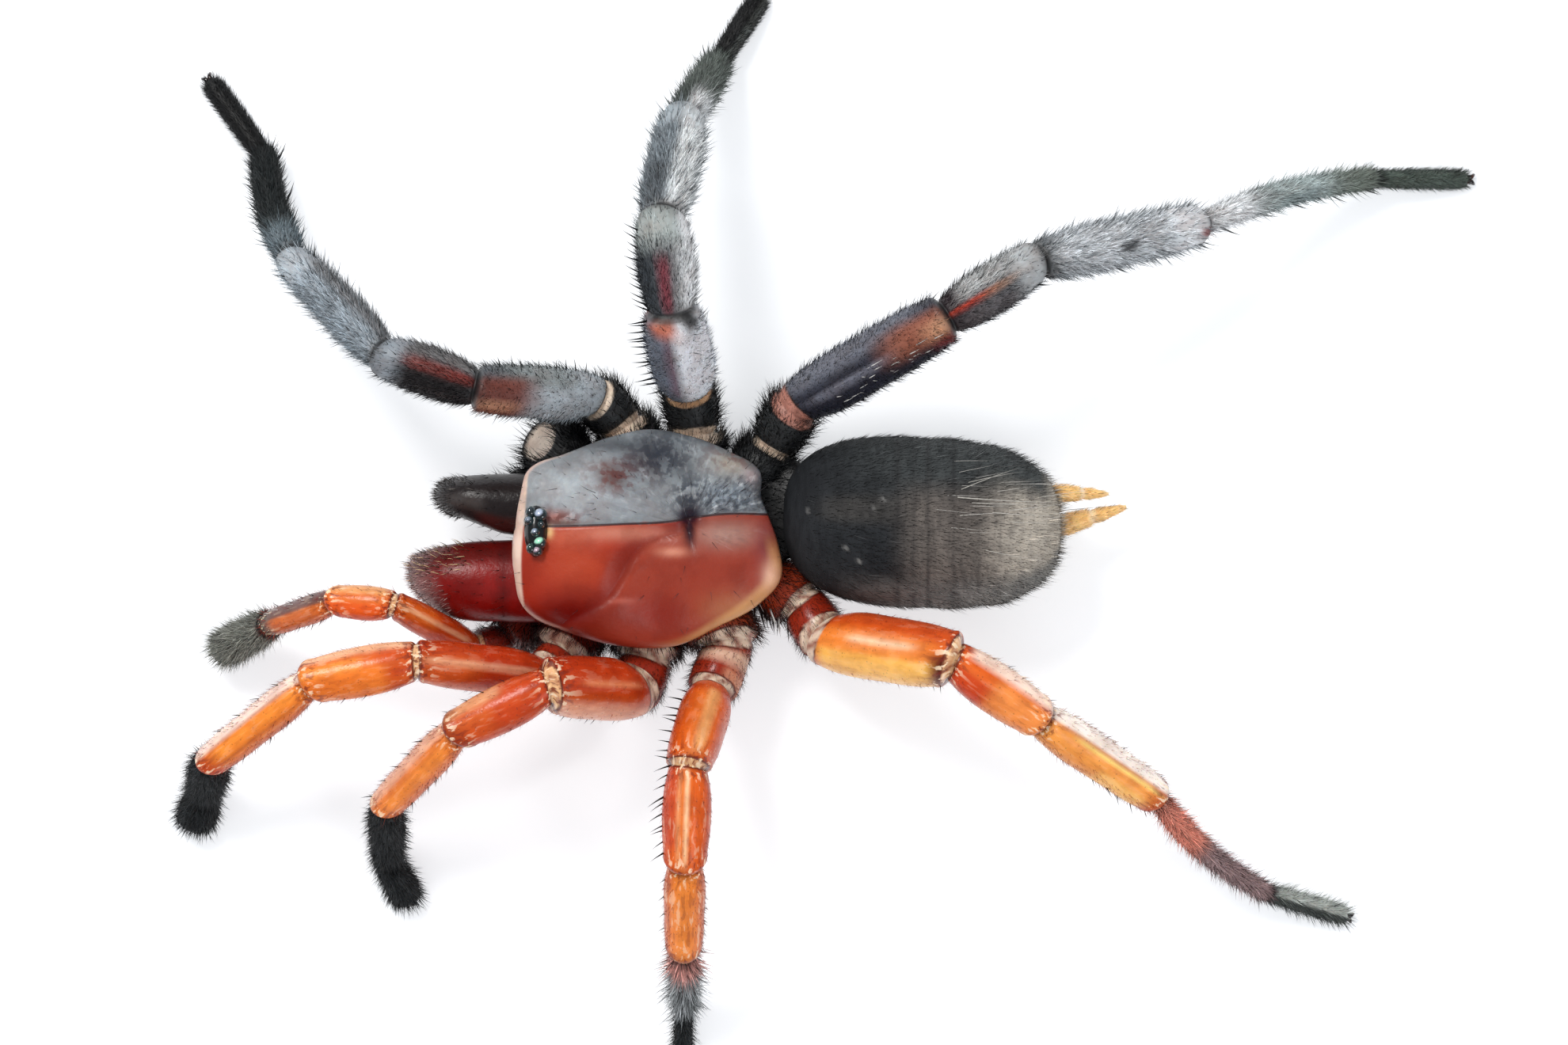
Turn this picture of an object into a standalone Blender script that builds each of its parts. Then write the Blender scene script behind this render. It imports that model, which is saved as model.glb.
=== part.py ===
"""Trapdoor spider, male on its right side and female on its left, as a life-size model.

Lengths are millimetres and headings are degrees, and meshes are made in metres.
The head looks along -X, the spider's right side is at +Y, and its feet stand on z = 0.
"""

import math
import random

import bmesh
import bpy
from mathutils import Matrix, Vector

MM = 0.001
GAP = 0.3
WELD = 0.02
UP = Vector((0.0, 0.0, 1.0))
BACKWARD = Vector((1.0, 0.0, 0.0))

# Colours of the two halves, as red, green and blue
ORANGE = (0.74, 0.21, 0.03)
RED = (0.42, 0.07, 0.02)
DARK_RED = (0.16, 0.01, 0.01)
GREY = (0.12, 0.12, 0.13)
CHARCOAL = (0.03, 0.03, 0.035)
AMBER = (0.62, 0.33, 0.10)

# Under part of the fore body, which the carapace covers and the legs grow from
CORE_CENTRE = Vector((-6.5, 0.2, 0.0))
CORE_HALF_LENGTH = 4.1
CORE_HALF_WIDTH = 2.0
CORE_POWER = 2.4
CORE_BOTTOM = 1.5
CORE_TOP = 3.6
CORE_PROFILE = ((0.78, CORE_BOTTOM), (0.95, 1.8), (1.0, 2.3), (1.0, CORE_TOP))
CORE_SIDES = 28

# Carapace: a domed shield with a narrow male side and a broad female side
SHIELD_CENTRE = Vector((-6.2, 0.45, 0.0))
SHIELD_FRONT = 4.7
SHIELD_BOTTOM = CORE_TOP + GAP
SHIELD_RIM = 0.25
SHIELD_POWER = 2.6
SHIELD_SHARES = (0.99, 0.93, 0.82, 0.66, 0.46, 0.24, 0.05)
SHIELD_SIDES = 36
HEAD_RISE = 1.8
THORAX_RISE = 1.15
GROOVE_X = -6.6
GROOVE_HALF = 1.2
MALE_SIDE = {"half_width": 3.42, "rear": 4.16, "front_power": 2.0, "rear_power": 3.0}
FEMALE_SIDE = {"half_width": 4.2, "rear": 4.94, "front_power": 3.5, "rear_power": 2.3}

# Low mound in front that carries the eight eyes
MOUND_PLACE = Vector((-10.0, 0.3, 0.0))
MOUND_HALF_LENGTH = 0.42
MOUND_HALF_WIDTH = 0.92
MOUND_HEIGHT = 0.45
MOUND_PROFILE = ((1.0, 0.0), (0.95, 0.5), (0.7, 0.9), (0.3, 1.0))
EYE_RADIUS = 0.19
EYE_ROWS = (-0.2, 0.2)
EYE_PLACES = (-0.66, -0.22, 0.22, 0.66)
EYE_SINK = 0.45

# Chelicerae, the two jaw bases, and the fangs folded under them
JAW_BASE_X = -11.2
JAW_HEIGHT = 3.5
JAW_DROOP = 0.7
JAW_RINGS = 7
JAW_SIDES = 14
JAW_END = 0.985
LEFT_JAW = {"y": -1.38, "drift": 0.45, "length": 3.4, "half_width": 1.38, "half_height": 1.3,
            "power": 2.2}
RIGHT_JAW = {"y": 1.31, "drift": 0.35, "length": 2.4, "half_width": 1.0, "half_height": 1.15,
             "power": 2.4}
FANG_RADIUS = 0.32
FANG_SAG = 0.3
FANG_TAPER = 0.85
FANG_RINGS = 6
FANG_SETBACK = 0.75
FANG_CLEARANCE = 1.35
LEFT_FANG_Y = -0.95
RIGHT_FANG_Y = 0.72

# Abdomen: an egg shape on a slanting axis, blunter in front
BELLY_FRONT = Vector((-0.95, 1.2, 3.55))
BELLY_REAR = Vector((8.5, 0.42, 3.35))
BELLY_RADIUS = 3.08
BELLY_FLATTEN = 0.88
BELLY_FRONT_POWER = 2.6
BELLY_REAR_POWER = 2.2
BELLY_RINGS = 13
BELLY_SIDES = 20
BELLY_CAP = 0.03
WAIST_RADIUS = 0.45
WAIST_HEIGHT = 3.1
WAIST_Y = (0.75, 0.95)
WAIST_PROFILE = ((0.0, 0.9), (0.5, 1.0), (1.0, 0.9))

# Spinnerets: start across and up from the belly's rear, heading, reach, end height, radius
SPINNERETS = {
    "spinneret_right": {"y": 1.35, "z": 3.0, "heading": 6, "reach": 1.9, "end_z": 2.6,
                        "radius": 0.4},
    "spinneret_left": {"y": 0.42, "z": 2.35, "heading": 16, "reach": 2.4, "end_z": 1.9,
                       "radius": 0.44},
    "spinneret_median": {"y": -0.2, "z": 1.6, "heading": -4, "reach": 1.1, "end_z": 1.3,
                         "radius": 0.28},
}
SPINNERET_ROOT = 0.8
SPINNERET_PROFILE = ((0.3, 1.0), (0.52, 0.8), (0.57, 0.72), (0.9, 0.5), (1.0, 0.25))

# Limb shapes: fraction of the segment's length, and width there over the greatest width
SIDES = 10
SHAPES = {
    "coxa": ((0.5, 0.92), (1.0, 0.9)),
    "trochanter": ((0.5, 1.0), (1.0, 0.85)),
    "femur": ((0.0, 0.78), (0.2, 0.97), (0.5, 1.0), (0.82, 0.95), (1.0, 0.8)),
    "patella": ((0.0, 0.8), (0.25, 0.98), (0.7, 1.0), (1.0, 0.82)),
    "tibia": ((0.0, 0.8), (0.2, 1.0), (0.6, 0.97), (0.9, 0.9), (1.0, 0.78)),
    "metatarsus": ((0.0, 0.85), (0.2, 1.0), (0.6, 0.92), (1.0, 0.8)),
    "tarsus": ((0.3, 0.98), (0.7, 1.0), (0.88, 0.97), (0.97, 0.8), (1.0, 0.5)),
}
DEPTHS = {"coxa": 1.1, "trochanter": 1.05, "femur": 1.1}
TIP_HEIGHT = 0.2
CLAW_LENGTH = 0.42
CLAW_RADIUS = 0.16
CLAW_SPREAD = 24
CLAW_PROFILE = ((-0.6, -0.03, 0.75), (0.3, 0.0, 0.95), (1.0, 0.12, 0.2))

# Sideways bow of the long metatarsi, towards the right of their heading
BOWS = {"leg_left_4": 0.3, "leg_right_2": -0.2, "leg_right_4": -0.28}

# Spines: how thick, long and deep-rooted they are, and how far they lean outwards
SPINE_RADIUS = 0.25
SPINE_LENGTH = 0.95
SPINE_SINK = 0.3
SPINE_LEAN = 48
SPINE_WAVER = 6.0
SPINE_SEED = 11

# Rows of spines on a segment: shares of its length, and angles round it from the
# right of its heading, with 90 on top
LEG_SPINES = {
    "tibia": ((0.28, 0.58, 0.86), (-28, 208)),
    "metatarsus": ((0.2, 0.5, 0.82), (-30, 210)),
}
COMB_SPINES = {
    "femur": ((0.16, 0.29, 0.42, 0.55, 0.68, 0.81), (2,)),
    "patella": ((0.2, 0.38, 0.56, 0.74), (-8,)),
    "tibia": ((0.2, 0.5, 0.8), (-20, 200)),
    "metatarsus": ((0.2, 0.5, 0.8), (-25, 205)),
}
PALP_SPINES = {"tibia": ((0.35, 0.75), (-20, 200))}
RAKE_ANGLES = {"chelicera_left": (25, 57, 90, 123, 155), "chelicera_right": (35, 90, 145)}
RAKE_SHARE = 0.86
RAKE_LENGTH = 0.7
RAKE_FORWARD = 1.3

# Limbs: hip place along the body, hip height and side, then each segment's reach
# in plan, heading, height at its far end and greatest width, out to the tarsus.
# A tarsus takes its height from its own width, so that every sole is on the floor.
# Within a mitre's share of each end, a segment's rings turn to face the next segment.
MITRE = 0.4
LEG_HIP = 2.6
PALP_HIP = 2.25
LEG_SEGMENTS = ("coxa", "trochanter", "femur", "patella", "tibia", "metatarsus", "tarsus")
LEGS = {
    "leg_left_1": (-8.2, LEG_HIP, -1, (
        (2.2, -116, 2.8, 1.5), (1.0, -124, 3.6, 1.6), (4.45, 173, 6.6, 1.75),
        (3.8, -169, 6.3, 1.8), (4.6, -142, 3.3, 1.4), (1.25, -106, 1.1, 1.35),
        (1.2, -108, None, 1.35))),
    "leg_left_2": (-6.35, LEG_HIP, -1, (
        (2.1, -83, 2.8, 1.6), (1.25, -114, 3.3, 2.0), (2.95, 176, 6.9, 2.3),
        (3.6, -154, 6.6, 1.7), (3.7, -134, 3.5, 1.4), (2.0, -90, 1.1, 1.2),
        (1.7, -64, None, 1.1))),
    "leg_left_3": (-4.45, LEG_HIP, -1, (
        (2.1, -56, 2.8, 1.6), (1.85, -111, 3.4, 1.9), (2.65, -107, 7.2, 1.9),
        (3.4, -92, 6.7, 1.75), (3.1, -91, 4.0, 1.5), (2.05, -90, 1.1, 1.0),
        (2.7, -92, None, 0.7))),
    "leg_left_4": (-2.75, LEG_HIP, -1, (
        (2.25, -33, 2.8, 1.5), (1.5, -58, 3.3, 1.9), (4.55, -9, 7.0, 2.4),
        (3.65, -34, 6.6, 1.8), (5.0, -34, 3.8, 1.6), (5.25, -41, 1.0, 1.0),
        (3.1, -17, None, 0.73))),
    "leg_right_2": (-6.4, LEG_HIP, 1, (
        (1.7, 112, 2.7, 1.6), (1.35, 133, 3.3, 1.85), (4.15, 176, 6.8, 1.9),
        (3.45, 161, 6.5, 1.7), (4.8, 134, 3.7, 1.45), (3.85, 106, 1.0, 1.15),
        (3.35, 126, None, 0.76))),
    "leg_right_3": (-4.6, LEG_HIP, 1, (
        (1.5, 86, 2.6, 1.6), (1.6, 99, 3.3, 1.9), (2.6, 102, 7.6, 2.3),
        (3.35, 96, 7.2, 2.0), (3.65, 78, 4.2, 1.8), (2.35, 60, 1.0, 1.25),
        (2.9, 57, None, 0.78))),
    "leg_right_4": (-2.95, LEG_HIP, 1, (
        (2.0, 58, 2.8, 1.5), (1.7, 60, 3.4, 1.9), (6.05, 30, 7.2, 2.1),
        (3.75, 32, 6.8, 1.7), (5.95, 13, 4.2, 1.65), (6.45, 15, 1.0, 1.05),
        (3.45, 0, None, 0.7))),
}
LEG_NODES = {"coxa": (0, 1), "femur": (2,), "patella": (3,), "tibia": (4,), "foot": (5, 6)}

PALP_SEGMENTS = ("coxa", "trochanter", "femur", "patella", "tibia", "tarsus")
LEFT_PALP = (-9.75, PALP_HIP, -1, (
    (2.3, -122, 2.0, 1.1), (1.2, -160, 2.4, 1.15), (3.15, 151, 5.5, 1.15),
    (2.1, 176, 5.0, 1.25), (2.5, -161, 2.6, 1.05), (2.2, -152, 0.95, 1.25)))
RIGHT_PALP = (-9.75, PALP_HIP, 1, (
    (1.1, 176, 1.9, 0.72), (0.5, -172, 1.75, 0.7), (1.55, -178, 1.68, 0.62),
    (0.12, 180, 0.66, 0.58), (1.45, -8, 0.6, 0.54), (1.0, -6, 0.5, 0.5)))
PALP_NODES = {"coxa": (0, 1), "femur": (2,), "patella": (3,), "tibia": (4,), "tarsus": (5,)}
LOST_LEG = (-8.15, LEG_HIP, 1, ((2.05, 148, 2.75, 1.65),))


def superellipse(angle, half_length, half_width, power):
    """Distance from the centre to the outline in one direction."""
    along = abs(math.cos(angle) / half_length) ** power
    across = abs(math.sin(angle) / half_width) ** power
    return (along + across) ** (-1.0 / power)


def nose(fraction, power):
    """Width over the greatest width, as a form closes to its end at fraction 1."""
    return max(0.0, 1.0 - abs(fraction) ** power) ** (1.0 / power)


def smooth_step(value):
    """Rise from 0 to 1 with level ends."""
    value = min(1.0, max(0.0, value))
    return value * value * (3.0 - 2.0 * value)


def heading_vector(degrees):
    """Level direction of a heading, counted from +X towards +Y."""
    return Vector((math.cos(math.radians(degrees)), math.sin(math.radians(degrees)), 0.0))


def loft(rings):
    """Closed mesh through rings with the same number of points."""
    mesh = bmesh.new()
    loops = [[mesh.verts.new(point * MM) for point in ring] for ring in rings]
    for near, far in zip(loops, loops[1:]):
        for i in range(len(near)):
            j = (i + 1) % len(near)
            mesh.faces.new((near[i], near[j], far[j], far[i]))
    mesh.faces.new(loops[0])
    mesh.faces.new(loops[-1])
    bmesh.ops.recalc_face_normals(mesh, faces=mesh.faces)
    return mesh


def add_part(name, mesh, colour, roughness=0.5):
    """Make the mesh a named object with its own material."""
    data = bpy.data.meshes.new(name)
    mesh.to_mesh(data)
    mesh.free()
    data.shade_smooth()
    material = bpy.data.materials.new(name)
    material.use_nodes = True
    shader = material.node_tree.nodes["Principled BSDF"]
    shader.inputs["Base Color"].default_value = (*colour, 1.0)
    shader.inputs["Roughness"].default_value = roughness
    data.materials.append(material)
    part = bpy.data.objects.new(name, data)
    bpy.data.collections["trapdoor_spider"].objects.link(part)
    return part


def oval_ring(centre, side, rise, half_width, half_height, count=SIDES):
    """Points of an oval round a centre, across two directions."""
    ring = []
    for i in range(count):
        angle = 2.0 * math.pi * i / count
        ring.append(centre + side * (half_width * math.cos(angle))
                    + rise * (half_height * math.sin(angle)))
    return ring


def mitred_ring(centre, direction, normal, half_width, half_height):
    """An oval across a limb, slid along it onto a plane that may lean."""
    side = direction.cross(UP).normalized()
    rise = side.cross(direction)
    lean = direction.dot(normal)
    ring = []
    for point in oval_ring(centre, side, rise, half_width, half_height):
        spoke = point - centre
        ring.append(point - direction * (spoke.dot(normal) / lean))
    return ring


def core_edge(angle):
    """Point on the under part's outline and the outward direction there."""
    reach = superellipse(angle, CORE_HALF_LENGTH, CORE_HALF_WIDTH, CORE_POWER)
    offset = Vector((math.cos(angle), math.sin(angle), 0.0)) * reach
    slope = CORE_POWER - 1.0
    outward = Vector((
        math.copysign(abs(offset.x / CORE_HALF_LENGTH) ** slope / CORE_HALF_LENGTH, offset.x),
        math.copysign(abs(offset.y / CORE_HALF_WIDTH) ** slope / CORE_HALF_WIDTH, offset.y),
        0.0)).normalized()
    return CORE_CENTRE + offset, outward


def hip(place_x, side):
    """Centre of a limb's root, a gap outside the under part, and its outward direction."""
    along = (place_x - CORE_CENTRE.x) / CORE_HALF_LENGTH
    across = nose(along, CORE_POWER) * CORE_HALF_WIDTH
    angle = math.atan2(side * across, place_x - CORE_CENTRE.x)
    point, outward = core_edge(angle)
    return point + outward * GAP, outward


def shield_radius(angle):
    """Distance from the carapace's centre to its margin in one direction."""
    side = MALE_SIDE if math.sin(angle) > 0.0 else FEMALE_SIDE
    if math.cos(angle) < 0.0:
        return superellipse(angle, SHIELD_FRONT, side["half_width"], side["front_power"])
    return superellipse(angle, side["rear"], side["half_width"], side["rear_power"])


def shield_rise(x):
    """Height of the carapace's midline above its rim, higher over the head."""
    blend = smooth_step((x - GROOVE_X + GROOVE_HALF) / (2.0 * GROOVE_HALF))
    return HEAD_RISE + (THORAX_RISE - HEAD_RISE) * blend


def shield_top(x, y):
    """Height of the carapace's surface at a place."""
    offset = Vector((x, y, 0.0)) - Vector((SHIELD_CENTRE.x, SHIELD_CENTRE.y, 0.0))
    angle = math.atan2(offset.y, offset.x)
    share = offset.length / shield_radius(angle)
    return SHIELD_BOTTOM + SHIELD_RIM + shield_rise(x) * nose(share, SHIELD_POWER)


def make_core():
    """Sternum and the block above it that the legs and the waist grow from."""
    rings = []
    for share, height in CORE_PROFILE:
        ring = []
        for i in range(CORE_SIDES):
            edge, _ = core_edge(2.0 * math.pi * (i + 0.5) / CORE_SIDES)
            ring.append(CORE_CENTRE + (edge - CORE_CENTRE) * share + UP * height)
        rings.append(ring)
    return add_part("sternum", loft(rings), RED)


def make_carapace():
    """Dome whose rings shrink from the margin to the top."""
    margin = []
    for i in range(SHIELD_SIDES):
        angle = 2.0 * math.pi * (i + 0.5) / SHIELD_SIDES
        margin.append(Vector((math.cos(angle), math.sin(angle), 0.0)) * shield_radius(angle))
    rings = [[SHIELD_CENTRE + point + UP * SHIELD_BOTTOM for point in margin]]
    for share in SHIELD_SHARES:
        ring = []
        for point in margin:
            place = SHIELD_CENTRE + point * share
            ring.append(place + UP * shield_top(place.x, place.y))
        rings.append(ring)
    return add_part("carapace", loft(rings), RED, 0.25)


def make_eye_mound():
    """Low mound a gap above the carapace, with four pairs of eyes fused on it."""
    base = shield_top(MOUND_PLACE.x + 0.8 * MOUND_HALF_LENGTH, MOUND_PLACE.y) + GAP
    rings = []
    for share, height in MOUND_PROFILE:
        centre = MOUND_PLACE + UP * (base + height * MOUND_HEIGHT)
        rings.append(oval_ring(centre, BACKWARD, BACKWARD.cross(UP), MOUND_HALF_LENGTH * share,
                               MOUND_HALF_WIDTH * share, 16))
    mound = add_part("eyes", loft(rings), CHARCOAL, 0.1)
    domes = []
    for row_x in EYE_ROWS:
        for row_y in EYE_PLACES:
            share = math.hypot(row_x / MOUND_HALF_LENGTH, row_y / MOUND_HALF_WIDTH)
            dome = bmesh.new()
            bmesh.ops.create_uvsphere(dome, u_segments=7, v_segments=5, radius=EYE_RADIUS * MM)
            lift = base + MOUND_HEIGHT * (1.0 - EYE_SINK * share)
            bmesh.ops.translate(dome, verts=dome.verts,
                                vec=(MOUND_PLACE + Vector((row_x, row_y, lift))) * MM)
            domes.append(dome)
    return fuse(mound, domes)


def jaw_point(jaw, share, angle):
    """Point on a chelicera, by the share of its length and the angle round its axis."""
    size = nose(share, jaw["power"])
    return Vector((JAW_BASE_X - share * jaw["length"],
                   jaw["y"] + jaw["drift"] * share ** 2
                   + jaw["half_width"] * size * math.cos(angle),
                   JAW_HEIGHT - JAW_DROOP * share ** 3
                   + jaw["half_height"] * size * math.sin(angle)))


def make_jaw(name, jaw, colour, draw):
    """One chelicera, blunt in front, with a rake of short spines over its front end."""
    rings = []
    for step in range(JAW_RINGS):
        share = math.sin(step / (JAW_RINGS - 1) * math.pi / 2) * JAW_END
        rings.append([jaw_point(jaw, share, 2.0 * math.pi * i / JAW_SIDES)
                      for i in range(JAW_SIDES)])
    part = add_part(name, loft(rings), colour, 0.3)
    spines = []
    for degrees in RAKE_ANGLES[name]:
        root = jaw_point(jaw, RAKE_SHARE, math.radians(degrees))
        centre = (root + jaw_point(jaw, RAKE_SHARE, math.radians(degrees + 180))) / 2.0
        outward = ((root - centre).normalized() - BACKWARD * RAKE_FORWARD).normalized()
        length = RAKE_LENGTH * draw.uniform(0.9, 1.1)
        spines.append(spine(root - outward * SPINE_SINK, outward, length))
    return fuse(part, spines)


def make_fang(name, jaw, side_y, colour):
    """Curved fang under a chelicera, from its front end back to a sharp tip."""
    start_x = JAW_BASE_X - jaw["length"] + FANG_SETBACK
    length = jaw["length"] - FANG_CLEARANCE
    top = JAW_HEIGHT - jaw["half_height"] - GAP - FANG_RADIUS
    rings = []
    for step in range(FANG_RINGS):
        share = step / (FANG_RINGS - 1)
        centre = Vector((start_x + share * length, side_y,
                         top - FANG_SAG * math.sin(share * math.pi * 0.8)))
        radius = FANG_RADIUS * (1.0 - FANG_TAPER * share)
        rings.append(oval_ring(centre, Vector((0.0, 1.0, 0.0)), UP, radius, radius, 8))
    return add_part(name, loft(rings), colour, 0.2)


def belly_point(share, angle):
    """Point on the abdomen, by the share of its length and the angle round its axis."""
    along = 2.0 * share - 1.0
    power = BELLY_FRONT_POWER if along < 0.0 else BELLY_REAR_POWER
    radius = BELLY_RADIUS * nose(along, power)
    centre = BELLY_FRONT.lerp(BELLY_REAR, share)
    return centre + Vector((0.0, radius * math.cos(angle),
                            radius * BELLY_FLATTEN * math.sin(angle)))


def make_abdomen():
    """Egg shape through rings that crowd towards both ends."""
    rings = []
    for step in range(BELLY_RINGS):
        turn = BELLY_CAP + (1.0 - 2.0 * BELLY_CAP) * step / (BELLY_RINGS - 1)
        share = 0.5 - 0.5 * math.cos(math.pi * turn)
        rings.append([belly_point(share, 2.0 * math.pi * (i + 0.5) / BELLY_SIDES)
                      for i in range(BELLY_SIDES)])
    return add_part("abdomen", loft(rings), CHARCOAL, 0.7)


def belly_rear(y, z):
    """Point where a line along X leaves the abdomen's rear half, and the outward direction."""
    middle_x = (BELLY_FRONT.x + BELLY_REAR.x) / 2.0
    half_length = BELLY_REAR.x - middle_x
    half_height = BELLY_RADIUS * BELLY_FLATTEN
    across = (y - BELLY_REAR.y) / BELLY_RADIUS
    upward = (z - BELLY_REAR.z) / half_height
    reach = math.hypot(across, upward)
    along = nose(reach, BELLY_REAR_POWER)
    slope = BELLY_REAR_POWER - 1.0
    outward = Vector((along ** slope / half_length,
                      reach ** (slope - 1.0) * across / BELLY_RADIUS,
                      reach ** (slope - 1.0) * upward / half_height)).normalized()
    return Vector((middle_x + half_length * along, y, z)), outward


def make_waist():
    """Pedicel, a short tube between the under part and the abdomen."""
    start = Vector((CORE_CENTRE.x + CORE_HALF_LENGTH + GAP, WAIST_Y[0], WAIST_HEIGHT))
    end = Vector((BELLY_FRONT.x - GAP, WAIST_Y[1], WAIST_HEIGHT))
    rings = []
    for share, size in WAIST_PROFILE:
        rings.append(oval_ring(start.lerp(end, share), Vector((0.0, 1.0, 0.0)), UP,
                               WAIST_RADIUS * size, WAIST_RADIUS * size, 10))
    return add_part("pedicel", loft(rings), CHARCOAL)


def make_spinneret(name, shape):
    """Two-jointed spinneret that tapers from the belly's rear."""
    root, outward = belly_rear(shape["y"], shape["z"])
    start = root + outward * GAP
    end = start + heading_vector(shape["heading"]) * shape["reach"]
    end.z = shape["end_z"]
    direction = (end - start).normalized()
    side = outward.cross(UP).normalized()
    root_radius = shape["radius"] * SPINNERET_ROOT
    rings = [oval_ring(start, side, side.cross(outward), root_radius, root_radius)]
    for share, size in SPINNERET_PROFILE:
        rings.append(mitred_ring(start.lerp(end, share), direction, direction,
                                 shape["radius"] * size, shape["radius"] * size))
    return add_part(name, loft(rings), AMBER)


def joint_normals(joints, root_normal):
    """Direction that faces each joint: outward at the hip, half way at each bend."""
    runs = [(b - a).normalized() for a, b in zip(joints, joints[1:])]
    normals = [root_normal]
    for near, far in zip(runs, runs[1:]):
        normals.append((near + far).normalized())
    normals.append(runs[-1])
    return runs, normals


def limb_point(limb, i, share):
    """Centre line of a segment, which bows sideways on the long metatarsi."""
    start, end = limb["ends"][i]
    side = limb["runs"][i].cross(UP).normalized()
    bow = limb["bow"] if limb["kinds"][i] == "metatarsus" else 0.0
    return start.lerp(end, share) + side * (bow * math.sin(math.pi * share))


def limb_rings(limb, first, last):
    """Rings of a node that holds the segments first to last of a limb."""
    rings = []
    for i in range(first, last + 1):
        run = limb["runs"][i]
        for share, size in SHAPES[limb["kinds"][i]]:
            normal = run
            if share < MITRE:
                normal = limb["normals"][i].lerp(run, share / MITRE).normalized()
            if 1.0 - share < MITRE:
                turn = 1.0 - (1.0 - share) / MITRE
                normal = run.lerp(limb["normals"][i + 1], turn).normalized()
            rings.append(mitred_ring(limb_point(limb, i, share), run, normal,
                                     limb["half_widths"][i] * size,
                                     limb["half_depths"][i] * size))
    return rings


def limb_spines(limb, i, rows, draw):
    """Spines of one segment, rooted under its surface and leaning towards the foot."""
    shares, angles = rows
    run = limb["runs"][i]
    side = run.cross(UP).normalized()
    rise = side.cross(run)
    lean = math.radians(SPINE_LEAN)
    spines = []
    for share in shares:
        for degrees in angles:
            angle = math.radians(degrees + draw.uniform(-SPINE_WAVER, SPINE_WAVER))
            spoke = (side * (limb["half_widths"][i] * math.cos(angle))
                     + rise * (limb["half_depths"][i] * math.sin(angle)))
            depth = 1.0 - SPINE_SINK / spoke.length
            root = limb_point(limb, i, share) + spoke * depth
            direction = spoke.normalized() * math.sin(lean) + run * math.cos(lean)
            spines.append(spine(root, direction, SPINE_LENGTH * draw.uniform(0.85, 1.1)))
    return spines


def root_ring(joints, outward, width):
    """First ring of a coxa, flat against the side of the under part."""
    side = outward.cross(UP)
    return oval_ring(joints[0], side, UP, width * 0.42, width * 0.5)


def on_floor(rings):
    """Lift every point that is under the floor onto it, which makes the sole's flat."""
    for ring in rings:
        for point in ring:
            point.z = max(point.z, 0.0)
    return rings


def spine(root, direction, length):
    """Five-sided cone from a root under the surface to a sharp tip."""
    mesh = bmesh.new()
    bmesh.ops.create_cone(mesh, segments=5, cap_ends=True, radius1=SPINE_RADIUS * MM,
                          radius2=0.0, depth=length * MM)
    bmesh.ops.remove_doubles(mesh, verts=mesh.verts, dist=WELD * MM)
    turn = direction.to_track_quat("Z", "Y").to_matrix().to_4x4()
    place = Matrix.Translation((root + direction * (length / 2.0)) * MM)
    bmesh.ops.transform(mesh, matrix=place @ turn, verts=mesh.verts)
    return mesh


def claw_meshes(tip, run):
    """Two claws at a foot's tip, side by side, with their roots sunk in it."""
    claws = []
    level = Vector((run.x, run.y, 0.0)).normalized()
    root = Vector((tip.x, tip.y, tip.z + CLAW_RADIUS))
    for turn in (-CLAW_SPREAD, CLAW_SPREAD):
        angle = math.radians(turn)
        ahead = Vector((level.x * math.cos(angle) - level.y * math.sin(angle),
                        level.x * math.sin(angle) + level.y * math.cos(angle), 0.0))
        side = ahead.cross(UP)
        rings = []
        for share, drop, size in CLAW_PROFILE:
            radius = CLAW_RADIUS * size
            centre = root + ahead * (CLAW_LENGTH * share) - UP * drop
            rings.append(oval_ring(centre, side, UP, radius, radius, 6))
        claws.append(loft(rings))
    return claws


def fuse(part, meshes):
    """Join closed meshes to a part by one union, and keep its largest closed surface."""
    guides = bpy.data.collections.new(part.name + "_pieces")
    bpy.context.scene.collection.children.link(guides)
    for i, mesh in enumerate(meshes):
        data = bpy.data.meshes.new(part.name + "_piece")
        mesh.to_mesh(data)
        mesh.free()
        piece = bpy.data.objects.new("{}_piece_{}".format(part.name, i), data)
        guides.objects.link(piece)
    union = part.modifiers.new("union", "BOOLEAN")
    union.operation = "UNION"
    union.operand_type = "COLLECTION"
    union.collection = guides
    union.solver = "EXACT"
    bpy.context.view_layer.update()
    graph = bpy.context.evaluated_depsgraph_get()
    joined = bpy.data.meshes.new_from_object(part.evaluated_get(graph))
    part.modifiers.clear()
    material = part.data.materials[0]
    part.data = joined
    joined.materials.clear()
    joined.materials.append(material)
    for piece in list(guides.objects):
        bpy.data.objects.remove(piece)
    bpy.data.collections.remove(guides)
    keep_largest(part)
    return part


def keep_largest(part):
    """Delete every closed surface of a part but the one with the most faces."""
    mesh = bmesh.new()
    mesh.from_mesh(part.data)
    unseen = set(mesh.verts)
    shells = []
    while unseen:
        shell = set()
        queue = [unseen.pop()]
        while queue:
            vert = queue.pop()
            shell.add(vert)
            for edge in vert.link_edges:
                other = edge.other_vert(vert)
                if other in unseen:
                    unseen.remove(other)
                    queue.append(other)
        shells.append(shell)
    shells.sort(key=len)
    for shell in shells[:-1]:
        bmesh.ops.delete(mesh, geom=list(shell), context="VERTS")
    bmesh.ops.triangulate(mesh, faces=mesh.faces)
    bmesh.ops.remove_doubles(mesh, verts=mesh.verts, dist=WELD * MM)
    bmesh.ops.dissolve_degenerate(mesh, edges=mesh.edges, dist=WELD * MM)
    mesh.to_mesh(part.data)
    mesh.free()


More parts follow.
